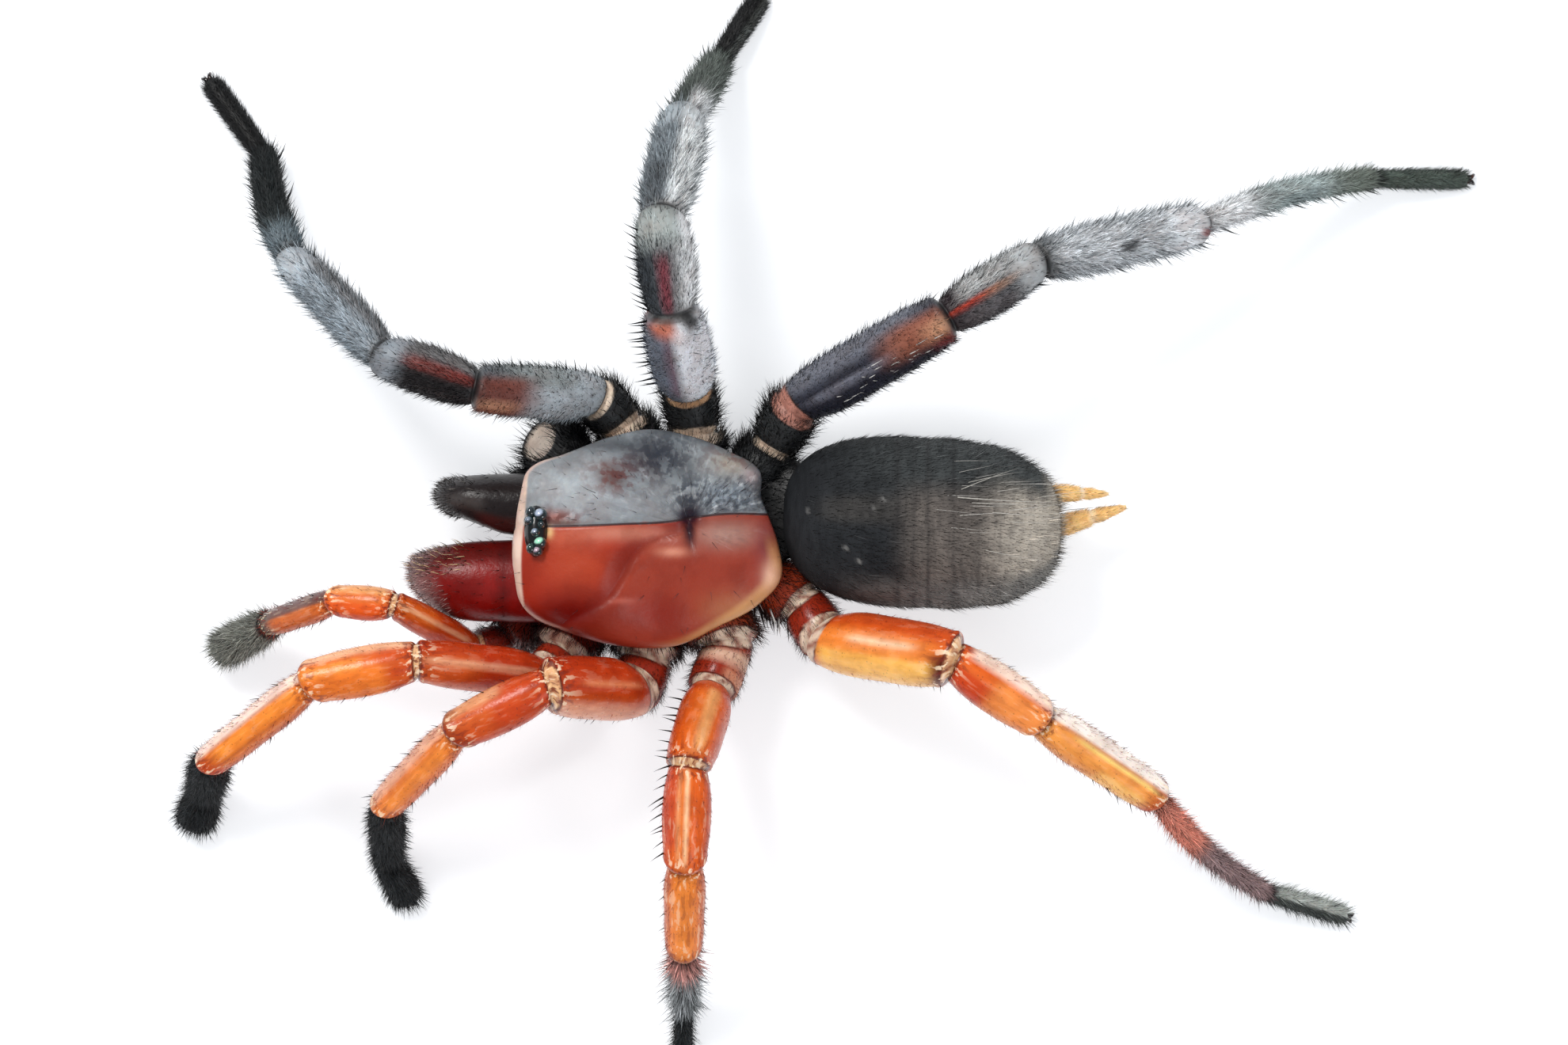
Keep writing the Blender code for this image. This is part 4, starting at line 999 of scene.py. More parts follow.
def shield_height(x, y):
    """Height of the shield over the floor, with its grooves."""
    turn = np.arctan2(y - SHIELD_CENTRE[1], x - SHIELD_CENTRE[0])
    share = np.clip(np.hypot(x - SHIELD_CENTRE[0], y - SHIELD_CENTRE[1]) / shield_reach(turn), 0, 1)
    dome = np.clip(1.0 - share ** SHIELD_POWER, 0.0, 1.0) ** (1.0 / SHIELD_POWER)
    rise = HEAD_RISE + (THORAX_RISE - HEAD_RISE) * soft_step(x, -6.6, 2.4)
    seam_gap = y - curve(x, SEAM)
    left = path_distance(x, y, LEFT_GROOVE)
    right = path_distance(x, y, RIGHT_GROOVE)
    head_side = soft_step(groove_x(y) - x, 0.0, 0.4)
    relief = (-0.09 * bell(left, 0.2) + head_side * (-0.1 * bell(left - 0.2, 0.35)
                                                     + 0.05 * bell(left - 1.1, 0.6))
              - 0.08 * bell(right, 0.2) + 0.04 * bell(right - 0.5, 0.3)
              - 0.05 * bell(seam_gap, 0.06) * soft_step(x, -9.6, 0.6)
              + 0.03 * soft_step(-seam_gap, 0.0, 0.08))
    pit_turn = x - PIT[0] - 0.12 * (y - PIT[1]) ** 2
    relief += -0.42 * bell(pit_turn, 0.2) * bell(y - PIT[1], 0.62)
    around = np.arctan2(y - PIT[1], x - PIT[0])
    away = np.hypot(x - PIT[0], y - PIT[1])
    relief += -0.035 * (0.5 + 0.5 * np.cos(around * 8.0)) ** 3 * window(away, 0.9, 3.2, 0.8)
    return SHIELD_BOTTOM + SHIELD_RIM + rise * dome + relief * soft_step(dome, 0.32, 0.3), share


shield_turns = circle(SHIELD_SIDES)
reach = shield_reach(shield_turns)
rows = []
for share, height in ((0.5, 3.86), (0.9, 3.88), (0.975, 3.92), (0.995, 4.0), (0.992, 4.1)):
    rows.append(np.column_stack((SHIELD_CENTRE[0] + np.cos(shield_turns) * reach * share,
                                 SHIELD_CENTRE[1] + np.sin(shield_turns) * reach * share,
                                 np.full(SHIELD_SIDES, height))))
for slope in np.radians(np.linspace(6.0, 89.4, SHIELD_ROWS)):
    share = math.cos(slope) ** (2.0 / SHIELD_POWER) * 0.99
    x = SHIELD_CENTRE[0] + np.cos(shield_turns) * reach * share
    y = SHIELD_CENTRE[1] + np.sin(shield_turns) * reach * share
    rows.append(np.column_stack((x, y, shield_height(x, y)[0])))
shield_rings = np.array(rows)
print("shield grid", shield_rings.shape[:2], "top at", shield_rings[..., 2].max().round(2), "mm")

# %% [markdown]
# The colours are laid like glazes: first the ground of each half, then the head with its
# painted highlights and the painted shadow along the groove, the rear and the rim, then the
# small marks, some of them painted highlights. The seam's distance is kept with the points,
# so that the material can draw it as a line much finer than the mesh.

# %% Shield colours
SHIELD_SPOTS = {
    # Painted light among the female spots: the large light ovals on the head and at its front by the
    # seam are painted highlights on the raised head, the long pale pink strip along the seam and the
    # two small pale ovals beside the pit and beside the groove's lower part are painted highlights,
    # and the dark red oval low at the front is painted shadow by the groove.
    "female": (
        (-8.6, -0.9, 1.7, 1.2, rgb(170, 60, 30), 0.9), (-8.9, -2.6, 1.4, 0.8, rgb(104, 6, 2), 0.95),
        (-6.9, 0.25, 1.9, 0.3, rgb(198, 128, 106), 0.75),
        (-8.9, 0.1, 0.8, 0.4, rgb(196, 92, 62), 0.6),
        (-3.3, 0.2, 1.2, 0.5, rgb(168, 132, 120), 0.85),
        (-3.0, -2.5, 1.3, 0.6, rgb(172, 110, 72), 0.7),
        (-1.9, -0.2, 0.45, 0.9, rgb(116, 48, 56), 0.65),
        (-5.2, -0.42, 0.55, 0.17, rgb(216, 146, 120), 0.75),
        (-7.0, -2.15, 0.5, 0.12, rgb(204, 112, 94), 0.5),
        (-5.6, -2.6, 1.3, 0.7, rgb(140, 30, 12), 0.75)),
    "male": (
        (-9.0, 1.7, 1.7, 1.0, rgb(172, 178, 182), 0.85),
        (-7.3, 2.15, 0.5, 0.4, rgb(88, 54, 50), 0.85), (-7.5, 2.6, 0.5, 0.25, rgb(96, 62, 54), 0.6),
        (-6.5, 2.7, 0.7, 0.35, rgb(80, 70, 76), 0.7),
        (-5.75, 3.1, 0.8, 0.65, rgb(38, 42, 54), 0.95),
        (-6.9, 1.2, 1.2, 0.35, rgb(152, 154, 158), 0.6),
        (-4.85, 2.55, 0.45, 0.4, rgb(62, 64, 70), 0.8),
        (-3.1, 2.75, 0.8, 0.5, rgb(158, 148, 134), 0.8),
        (-2.35, 2.3, 0.35, 0.3, rgb(196, 176, 178), 0.7),
        (-3.2, 1.5, 1.1, 0.5, rgb(130, 140, 150), 0.7),
        (-9.4, 0.78, 0.6, 0.26, rgb(176, 92, 74), 0.7),
        (-9.1, 0.6, 0.75, 0.14, rgb(92, 72, 62), 0.75),
        (-4.55, 0.85, 0.4, 0.5, rgb(34, 26, 42), 0.9), (-7.0, 3.35, 1.4, 0.3, rgb(66, 70, 76), 0.8)),
}
x, y = shield_rings[..., 0], shield_rings[..., 1]
share = shield_height(x, y)[1]
seam_gap = y - curve(x, SEAM)
before_groove = groove_x(y) - x


def oval(spot_x, spot_y, half_x, half_y):
    """A soft oval mask on the shield."""
    return np.exp(-((x - spot_x) / half_x) ** 2 - ((y - spot_y) / half_y) ** 2)


halves = {"female": np.zeros(shield_rings.shape) + rgb(146, 52, 34),
          "male": np.zeros(shield_rings.shape) + rgb(132, 138, 142)}
halves["female"] = brush(halves["female"], soft_step(before_groove, 0.1, 0.3), rgb(156, 36, 16))
for half, spots in SHIELD_SPOTS.items():
    for spot_x, spot_y, half_x, half_y, colour, strength in spots:
        halves[half] = brush(halves[half], oval(spot_x, spot_y, half_x, half_y) * strength, colour)
female, male = halves["female"], halves["male"]
shadow = window(before_groove, -0.06, 0.75, 0.5) * (1.0 - soft_step(before_groove, 0.1, 0.9) * 0.5)
female = brush(female, shadow * soft_step(-x, 4.9, 0.5) * 0.62, rgb(104, 10, 3))
rim_width = 0.05 + 0.05 * bell(x + 2.3, 1.3)
rim = soft_step(share, 1.0 - rim_width, 0.07) * soft_step(x, -5.2, 2.4) * soft_step(-y, 0.2, 1.2)
female = brush(female, rim * 0.6, rgb(216, 166, 108))
# Painted highlight: a pale spot on the female half's rear corner.
female = brush(female, oval(-1.75, -1.25, 0.3, 0.5) * 0.7, rgb(232, 186, 160))
rear_edge = soft_step(share, 0.94, 0.1) * soft_step(x, -6.0, 2.0)
male = brush(male, rear_edge * 0.7, rgb(70, 76, 82))
tone = brush(female, soft_step(seam_gap, 0.0, 0.06), male)

male_side = soft_step(seam_gap, 0.05, 0.1)
blush = male_side * np.maximum.reduce((oval(-7.2, 2.25, 1.0, 0.6), oval(-9.2, 0.8, 0.9, 0.25),
                                       oval(-3.2, 2.9, 1.0, 0.5) * 0.6))
slate = male_side * np.maximum.reduce((oval(-5.6, 2.9, 1.3, 0.9), oval(-3.3, 1.3, 1.5, 0.6) * 0.75,
                                       oval(-4.7, 1.6, 0.7, 0.9)))
pit_mask = bell(x - PIT[0] - 0.12 * (y - PIT[1]) ** 2, 0.16) * bell(y - PIT[1], 0.66)
pit_mask = np.maximum(pit_mask, oval(-4.66, 0.82, 0.4, 0.34))
tone = brush(tone, np.clip(pit_mask * 1.4, 0, 1) * 0.92, rgb(40, 20, 38))
lip_edge = 10.3 + 0.26 * bell(y + 0.9, 2.2)
lip = soft_step(-x, lip_edge, 0.1) * soft_step(y, -3.3, 0.5)
tone = brush(tone, lip * 0.97, rgb(232, 206, 188))
front_edge = soft_step(share, 0.972, 0.03) * soft_step(-x, 9.2, 1.4)
tone = brush(tone, front_edge * 0.85, rgb(222, 192, 178))
tone = brush(tone, oval(-9.55, 0.28, 0.13, 0.2), rgb(232, 186, 128))
frosted_patch = window(x, -4.6, -2.0, 1.0) * window(y, 1.0, 2.2, 0.6)
# The oval on the female half behind the pit is painted sparkle, a highlight broken into pale flecks;
# on the male half the same field is the frosted, streaked grain of the shield.
frost_and_sparkle = oval(-3.3, 0.1, 0.9, 0.3) * 0.3 + male_side * (0.22 + 0.7 * frosted_patch)
around = np.arctan2(y - PIT[1], -(x - PIT[0]))
away = np.hypot(x - PIT[0], y - PIT[1])
shield_values = {"tone": np.clip(tone, 0, 1), "wet": np.where(seam_gap > 0, 0.2, 0.8),
                 "seam": seam_gap + FAR * soft_step(-x, 10.15, 0.1), "frost_and_sparkle": frost_and_sparkle,
                 "blush": blush, "slate": slate,
                 "streak": np.stack((around * 1.6, away * 0.22, np.zeros(x.shape)), axis=-1)}
print("shield painted; male half is", round(float((seam_gap > 0).mean()) * 100), "% of its points")

# %% Shield material and piece
shield_shell, tree, shader = start_material(
    "shield_shell", subsurface_weight=0.12, subsurface_scale=0.4 * MM, specular_ior_level=0.3,
    subsurface_radius=(1.0, 0.3, 0.1))
where = millimetres(tree)
cloud = noise(tree, where, 0.9, 4.0)
fine = noise(tree, where, 7.0, 5.0)
clots = noise(tree, where, 3.4, 7.0)
streaks = noise(tree, point_value(tree, "streak", "Vector"), 6.0, 4.0)
frost_and_sparkle_share = point_value(tree, "frost_and_sparkle", "Fac")
painted = point_value(tree, "tone")
deeper = blend(tree, 1.0, painted, (0.62, 0.46, 0.42, 1.0), "MULTIPLY")
painted = blend(tree, ramp(tree, cloud, 0.38, 0.68, 0.0, 0.45), painted, deeper)
# Pale streaks where the frost field is set: painted sparkle on the female half, frosted grain on the
# male half.
painted = stain(tree, painted, frost_and_sparkle_share, streaks, (0.56, 0.72, 0.0, 0.7), (0.78, 0.8, 0.82, 1.0))
painted = stain(tree, painted, frost_and_sparkle_share, streaks, (0.34, 0.48, 0.75, 0.0), (0.04, 0.044, 0.055, 1.0))
duller = blend(tree, 1.0, painted, (0.42, 0.43, 0.47, 1.0), "MULTIPLY")
painted = stain(tree, painted, frost_and_sparkle_share, noise(tree, where, 5.0, 6.0), (0.44, 0.56, 0.7, 0.0), duller)
for key, low_edge, high_edge, colour in (("blush", 0.42, 0.58, (0.13, 0.035, 0.028, 1.0)),
                                         ("slate", 0.44, 0.56, (0.02, 0.024, 0.036, 1.0))):
    painted = stain(tree, painted, point_value(tree, key, "Fac"), clots,
                    (low_edge, high_edge, 0.0, 0.85), colour)
seam_size = math_node(tree, "ABSOLUTE", point_value(tree, "seam", "Fac"))
seam_share = ramp(tree, seam_size, 0.02, 0.06, 0.9, 0.0)
painted = blend(tree, seam_share, painted, (0.03, 0.012, 0.014, 1.0))
wet_rough = ramp(tree, point_value(tree, "wet", "Fac"), 0.0, 1.0, 0.62, 0.24)
shell_bump = raise_surface(tree, cloud, 0.4, 0.12)
shell_bump = raise_surface(tree, streaks, 0.25, 0.04, shell_bump)
feed(tree, shader, {"Base Color": painted,
                    "Roughness": math_node(tree, "MULTIPLY_ADD", fine, 0.18, wet_rough),
                    "Normal": raise_surface(tree, fine, 0.25, 0.03, shell_bump)})

shield = tube("shield", shield_rings, shield_values, shield_shell, 0.1)
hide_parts("carapace")
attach(shield, "root")
print("shield built with", len(shield.data.polygons), "faces")

# %% [markdown]
# ## The eyes
# Trapdoor spiders carry eight simple eyes on one low black mound behind the jaws: two
# rows of four, the outer ones oval and larger. Each is a clear lens over a dark cup, so
# a very smooth coat over near-black catches a small bright window. What the cup throws
# back, mint, rose or sky blue, is painted on the lamp's side. They are real domes,
# because their highlights are what makes the face look alive.

# %% Eyes
MOUND = np.array((-10.02, 0.3))
MOUND_HALF = np.array((0.43, 0.92))
MOUND_HEIGHT = 0.52
MOUND_SUNK = 0.12
EYE_HEIGHT = 0.19
DOME_ROWS = 12
DOME_SIDES = 28
LAMP_SIDE = np.array((-0.3, 0.55, 0.75))
EYE_CUP = (0.004, 0.007, 0.008)


def dome_piece(name, centre, half, height, axis, material, glow=0.0, sheen=BLACK):
    """A closed egg-shaped dome that leans along an axis, with a glint colour painted on its lamp side.
    """
    axis = unit(np.array(axis, float))
    first = unit(np.cross((0.0, 1.0, 0.0), axis))
    second = np.cross(axis, first)
    turns = circle(DOME_SIDES)
    rings = []
    for slope in np.radians(np.linspace(-60.0, 84.0, DOME_ROWS)):
        rings.append(np.array(centre) + axis * math.sin(slope) * height
                     + np.outer(np.cos(turns) * half[0] * math.cos(slope), first)
                     + np.outer(np.sin(turns) * half[1] * math.cos(slope), second))
    rings = np.array(rings)
    lit = soft_step((rings - centre) @ LAMP_SIDE, height * 0.78, height * 0.3)
    tone = brush(np.zeros(rings.shape) + EYE_CUP, lit * glow, sheen)
    return tube(name, rings, {"tone": tone}, material, 0.05)


eye_glass, tree, shader = start_material("eye_glass", base_color=(0.006, 0.01, 0.011, 1.0),
                                         roughness=0.06, coat_weight=1.0, coat_roughness=0.02,
                                         specular_ior_level=0.7)
glint = add_node(tree, "ShaderNodeLayerWeight", {"Blend": 0.35}).outputs["Facing"]
feed(tree, shader, {"Base Color": blend(tree, glint, point_value(tree, "tone"),
                                        (0.02, 0.07, 0.075, 1.0))})
mound_black, tree, shader = start_material("mound_black", base_color=(0.008, 0.009, 0.01, 1.0),
                                           roughness=0.24)
mound_noise = noise(tree, millimetres(tree), 8.0)
feed(tree, shader, {"Normal": raise_surface(tree, mound_noise, 0.15, 0.04)})

mound_base = float(shield_height(np.array([MOUND[0] + 0.2]), np.array([MOUND[1]]))[0][0])
eye_parts = [dome_piece("mound", (*MOUND, mound_base - MOUND_SUNK), MOUND_HALF, MOUND_HEIGHT,
                        (-0.12, 0.0, 1.0), mound_black)]
MINT_GLINT = rgb(172, 238, 204)
SKY_GLINT = rgb(198, 210, 234)
ROSE_GLINT = rgb(228, 196, 212)
# Each eye: place along and across the mound, half length and half width, and the strength and colour
# of its painted reflection.
EYES = ((-0.03, -0.03, 0.17, 0.17, 0.6, SKY_GLINT), (-0.25, 0.38, 0.18, 0.17, 0.35, SKY_GLINT),
        (0.04, -0.7, 0.2, 0.19, 0.7, ROSE_GLINT), (-0.2, 0.7, 0.18, 0.2, 0.05, SKY_GLINT),
        (-0.18, -0.6, 0.17, 0.2, 0.05, MINT_GLINT), (0.17, 0.24, 0.13, 0.14, 0.05, SKY_GLINT),
        (0.14, -0.4, 0.23, 0.22, 1.0, MINT_GLINT), (0.16, 0.6, 0.24, 0.23, 0.85, SKY_GLINT))
for number, (along, across, half_length, half_width, glow, sheen) in enumerate(EYES):
    lean = np.array((along * 1.1, across * 0.75, 1.0))
    drop = 0.5 * ((along / 0.6) ** 2 + (across / 1.15) ** 2)
    centre = (MOUND[0] + along, MOUND[1] + across,
              mound_base - MOUND_SUNK + MOUND_HEIGHT * (1.0 - 0.45 * drop) - 0.08)
    eye_parts.append(dome_piece("eye_{}".format(number), centre, (half_length, half_width),
                                EYE_HEIGHT, lean, eye_glass, glow, sheen))


def join_pieces(name, parts):
    """Join several objects into one and name it."""
    with bpy.context.temp_override(active_object=parts[0], selected_editable_objects=parts):
        bpy.ops.object.join()
    parts[0].name = name
    return parts[0]


eyes = join_pieces("eyes_on_mound", eye_parts)
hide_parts("eyes")
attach(eyes, "root")
print("eight eyes on a mound whose foot is at", round(mound_base, 2), "mm")

# %% [markdown]
# ## The jaws and fangs
# A chelicera is a stout, glossy barrel that points forward, with a rake of stiff spines
# round its front and a fang folded back beneath it. The female's is dark red, the
# male's black and smaller. Their fronts slant, and pale bristles stand in a row along
# the inner edge.

# %% Jaws
JAW_BASE = -11.2
JAW_HEIGHT = 3.5
JAW_DROOP = 0.7
LEFT_JAW = {"length": 3.15, "half_height": 1.3, "power": 7.0, "slant": (0.62, -0.35),
            "inner": ((-0.2, 0.04), (0.0, 0.02), (0.35, -0.04), (0.7, -0.22), (1.0, -0.5)),
            "outer": ((-0.2, -2.95), (0.0, -2.92), (0.5, -2.9), (1.0, -2.75))}
RIGHT_JAW = {"length": 2.4, "half_height": 1.15, "power": 5.5, "slant": (0.05, -0.3),
             "inner": ((-0.2, 0.14), (0.0, 0.2), (0.35, 0.46), (0.7, 0.72), (1.0, 0.86)),
             "outer": ((-0.2, 2.37), (0.0, 2.36), (0.35, 2.33), (0.7, 2.28), (1.0, 2.22))}
JAW_SIDES = 64


def jaw_rings(jaw):
    """Rings of a chelicera from under the shield's lip to its blunt front."""
    turns = circle(JAW_SIDES)
    rings, shares = [], []
    behind_lip = np.linspace(-0.45, 0.0, 5)
    in_view = np.sin(np.linspace(0.03, 1.0, 40) * np.pi / 2) * 0.996
    for share in np.concatenate((behind_lip, in_view)):
        body = max(share, 0.0)
        size = (1.0 - body ** jaw["power"]) ** (1.0 / jaw["power"])
        inner, outer = float(curve(share, jaw["inner"])), float(curve(share, jaw["outer"]))
        across = np.cos(turns) * size
        reach = jaw["length"] + jaw["slant"][0] * across + jaw["slant"][1] * across ** 2
        x = JAW_BASE - body * reach + (body - share) * jaw["length"]
        y = (inner + outer) / 2.0 + abs(inner - outer) / 2.0 * 0.98 * across
        z = JAW_HEIGHT - JAW_DROOP * body ** 3 + jaw["half_height"] * 0.97 * size * np.sin(turns)
        rings.append(np.column_stack((x, y, z)))
        shares.append(np.full(JAW_SIDES, share))
    return np.array(rings), np.array(shares), np.broadcast_to(turns, (len(rings), JAW_SIDES))


jaw_shell = make_chitin("jaw_shell", rough=0.5, mottle=0.6, dark_specks=0.3, under_light=0.03,
                        grain=0.5, shine=0.28)
jaws = {}
for name, jaw, ground in (("chelicera_left", LEFT_JAW, rgb(120, 7, 4)),
                          ("chelicera_right", RIGHT_JAW, rgb(33, 27, 28))):
    rings, share, turns = jaw_rings(jaw)
    tone = np.zeros(rings.shape) + ground
    side = np.cos(turns)
    if name == "chelicera_left":
        glow = window(share, -0.3, 0.35, 0.3) * window(side, -0.4, 0.6, 0.6)
        tone = brush(tone, glow * 0.6, rgb(140, 26, 22))
        tone = brush(tone, soft_step(share, 0.8, 0.3) * 0.85, rgb(138, 106, 106))
        tone = brush(tone, window(side, 0.5, 1.2, 0.4) * 0.6, rgb(58, 18, 14))
        tone = brush(tone, bell(share, 0.07) * 0.5, rgb(60, 8, 10))
    else:
        # Painted highlight: a grey sheen stripe along the top and the underside of the male jaw.
        back_sheen = window(share, 0.3, 0.85, 0.25) * bell(side + 0.1, 0.3)
        tone = brush(tone, back_sheen * 0.4, rgb(96, 90, 88))
        flank = window(share, -0.2, 0.4, 0.3) * soft_step(-side, 0.5, 0.4)
        tone = brush(tone, flank * 0.6, rgb(84, 28, 24))
    values = {"tone": tone, "wet": np.full(share.shape, 0.8)}
    piece = tube(name + "_shell", rings, values, jaw_shell)
    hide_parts(name)
    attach(piece, "root")
    jaws[name] = (piece, rings, share, turns)
print("jaws built:", ", ".join(jaws))

# %% Fangs and claws
claw_black, tree, shader = start_material("claw_black", base_color=(0.012, 0.008, 0.008, 1.0),
                                          roughness=0.16, coat_weight=0.4)
claw_noise = noise(tree, millimetres(tree), 6.0)
feed(tree, shader, {"Base Color": blend(tree, ramp(tree, claw_noise, 0.4, 0.7),
                                        (0.01, 0.008, 0.009, 1.0), (0.06, 0.02, 0.014, 1.0))})


def hook(name, path, sizes, material, sides=16):
    """A curved, tapering tube through a few places."""
    path, sizes = np.array(path, float), np.array(sizes, float)
    steps = np.linspace(0.0, len(path) - 1.0, 18)
    centres = np.column_stack([curve(steps, tuple(enumerate(path[:, i]))) for i in range(3)])
    radii = curve(steps, tuple(enumerate(sizes)))
    runs = unit(np.gradient(centres, axis=0))
    side = unit(np.cross(runs, UP))
    rise = np.cross(side, runs)
    turns = circle(sides)
    rings = (centres[:, None] + np.cos(turns)[None, :, None] * (radii[:, None] * side)[:, None]
             + np.sin(turns)[None, :, None] * (radii[:, None] * rise)[:, None])
    rings[:, :, 2] = np.maximum(rings[:, :, 2], 0.0)
    return tube(name, rings, {"tone": np.broadcast_to(BLACK, rings.shape),
                              "wet": np.ones(rings.shape[:2])}, material, 0.4)


for name, jaw, across in (("fang_left", LEFT_JAW, -0.95), ("fang_right", RIGHT_JAW, 1.15)):
    tip_x = JAW_BASE - 0.75
    start_x = JAW_BASE - jaw["length"] + 0.62
    top = JAW_HEIGHT - jaw["half_height"] - 0.55
    middle = (start_x + tip_x) / 2.0
    fang = hook(name + "_hook", ((start_x - 0.1, across, top + 0.35), (start_x, across, top + 0.02),
                                 (middle, across, top - 0.22), (tip_x, across, top - 0.05)),
                (0.3, 0.29, 0.21, 0.04), claw_black)
    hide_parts(name)
    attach(fang, "root")

for name, limb in limbs.items():
    if name in NO_CLAWS:
        continue
    tip = limb["joints"][-1]
    ahead = unit(limb["runs"][-1] * (1.0, 1.0, 0.0))
    across = np.cross(UP, ahead)
    size = 0.48 if "right" in name else 0.42
    spread = (0.16,) if name == "palp_left" else (-0.16, 0.16)
    for number, offset in enumerate(spread):
        root = np.array((tip[0], tip[1], max(0.22, tip[2]))) + across * offset * size
        claw = hook("claw_{}_{}".format(name, number),
                    (root - ahead * 0.3, root + ahead * 0.12 * size + UP * 0.04,
                     root + ahead * 0.36 * size + across * offset * 0.5 - UP * 0.05,
                     root + ahead * 0.46 * size + across * offset * 0.7 - UP * 0.19),
                    (0.12, 0.09, 0.055, 0.012), claw_black, 10)
        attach(claw, "root")
print("fangs folded under the jaws, claws on the feet")

# %% [markdown]
# ## The hind body and the spinnerets
# The abdomen is soft and covered in short velvet, charcoal in front and worn to a brown
# grey over the middle and the rear, with faint bands where it folds. Spinnerets are two
# amber fingers with a joint and pale tips, and a short one below them. The pale band at
# the joint is a painted highlight.

# %% Hind body
BELLY_FRONT = np.array((-1.32, 0.8, 3.55))
BELLY_REAR = np.array((8.5, 0.42, 3.35))
BELLY_RADIUS = 3.08
BELLY_FLATTEN = 0.88
BELLY_POWERS = (2.7, 2.6)
BELLY_SIDES = 120
BELLY_ROWS = 110
COAT_DEPTH = 0.06
BELLY_BANDS = ((0.41, 0.45), (0.47, 0.3), (0.52, 0.5), (0.61, 0.4), (0.7, 0.3))
BELLY_SPECKS = ((-0.45, 1.04), (2.18, 1.46), (1.82, 1.09), (0.87, -0.28), (1.34, -0.73))
belly_turns = circle(BELLY_SIDES)
rings, shares = [], []
for turn in np.linspace(0.035, 0.965, BELLY_ROWS):
    share = 0.5 - 0.5 * math.cos(math.pi * turn)
    along = 2.0 * share - 1.0
    power = BELLY_POWERS[0] if along < 0.0 else BELLY_POWERS[1]
    radius = BELLY_RADIUS * (1.0 - abs(along) ** power) ** (1.0 / power) - COAT_DEPTH
    fold = 0.03 * math.sin(share * 34.0) * window(share, 0.45, 0.95, 0.3)
    wobble = 1.0 + 0.012 * np.cos(2.0 * belly_turns + 5.0 * share)
    centre = BELLY_FRONT + (BELLY_REAR - BELLY_FRONT) * share
    rings.append(centre + np.outer((radius + fold) * wobble * np.cos(belly_turns), (0.0, 1.0, 0.0))
                 + np.outer((radius + fold) * wobble * BELLY_FLATTEN * np.sin(belly_turns), UP))
    shares.append(np.full(BELLY_SIDES, share))
belly_rings, belly_share = np.array(rings), np.array(shares)
belly_across = np.broadcast_to(np.cos(belly_turns), belly_share.shape)
tone = np.zeros(belly_rings.shape) + rgb(38, 40, 43)
tone = brush(tone, soft_step(belly_across, 0.45, 0.8) * soft_step(belly_share, 0.3, 0.4) * 0.75,
             rgb(80, 84, 84))
worn = soft_step(belly_share, 0.44, 0.16) * window(belly_across, -0.8, 0.36, 0.45)
tone = brush(tone, worn * 0.9, rgb(112, 104, 98))
pale_rear = soft_step(belly_share, 0.78, 0.26) * window(belly_across, -0.8, 0.5, 0.5)
tone = brush(tone, pale_rear * 0.85, rgb(206, 196, 182))
tone = brush(tone, soft_step(belly_share, 0.95, 0.06) * 0.9, rgb(186, 176, 162))
front_patch = window(belly_share, 0.15, 0.42, 0.15) * window(belly_across, -0.02, 0.3, 0.2)
tone = brush(tone, front_patch * 0.3, rgb(96, 90, 84))
left_flank = soft_step(-belly_across, 0.72, 0.3) * soft_step(belly_share, 0.3, 0.3)
tone = brush(tone, left_flank * 0.9, rgb(134, 132, 128))
for place_of_band, strength in BELLY_BANDS:
    tone = brush(tone, bell(belly_share - place_of_band, 0.01) * strength, rgb(44, 42, 43))
for speck_x, speck_y in BELLY_SPECKS:
    near = np.hypot(belly_rings[..., 0] - speck_x, belly_rings[..., 1] - speck_y)
    tone = brush(tone, bell(near, 0.055) * (belly_rings[..., 2] > 3.0) * 0.8, rgb(176, 174, 170))
belly_tone = np.clip(tone, 0.0, 1.0)

velvet, tree, shader = start_material("velvet", roughness=0.75, specular_ior_level=0.15)
where = millimetres(tree)
nap = noise(tree, vector_node(tree, "MULTIPLY", where, (3.2, 0.7, 0.7)), 1.6, 5.0)
velvet_cloud = noise(tree, where, 0.8, 3.0)
velvet_tone = point_value(tree, "tone")
velvet_dark = blend(tree, 1.0, velvet_tone, (0.5, 0.5, 0.52, 1.0), "MULTIPLY")
velvet_paint = blend(tree, ramp(tree, velvet_cloud, 0.4, 0.7, 0.0, 0.6), velvet_tone, velvet_dark)
velvet_paint = blend(tree, ramp(tree, nap, 0.42, 0.68, 0.0, 0.6), velvet_paint, velvet_dark)
feed(tree, shader, {"Base Color": velvet_paint, "Normal": raise_surface(tree, nap, 0.6, 0.06)})
belly = tube("hind_body", belly_rings, {"tone": tone, "wet": np.zeros(belly_share.shape)},
             velvet, 0.05)
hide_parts("abdomen")
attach(belly, "root")
print("hind body has", len(belly.data.polygons), "faces")

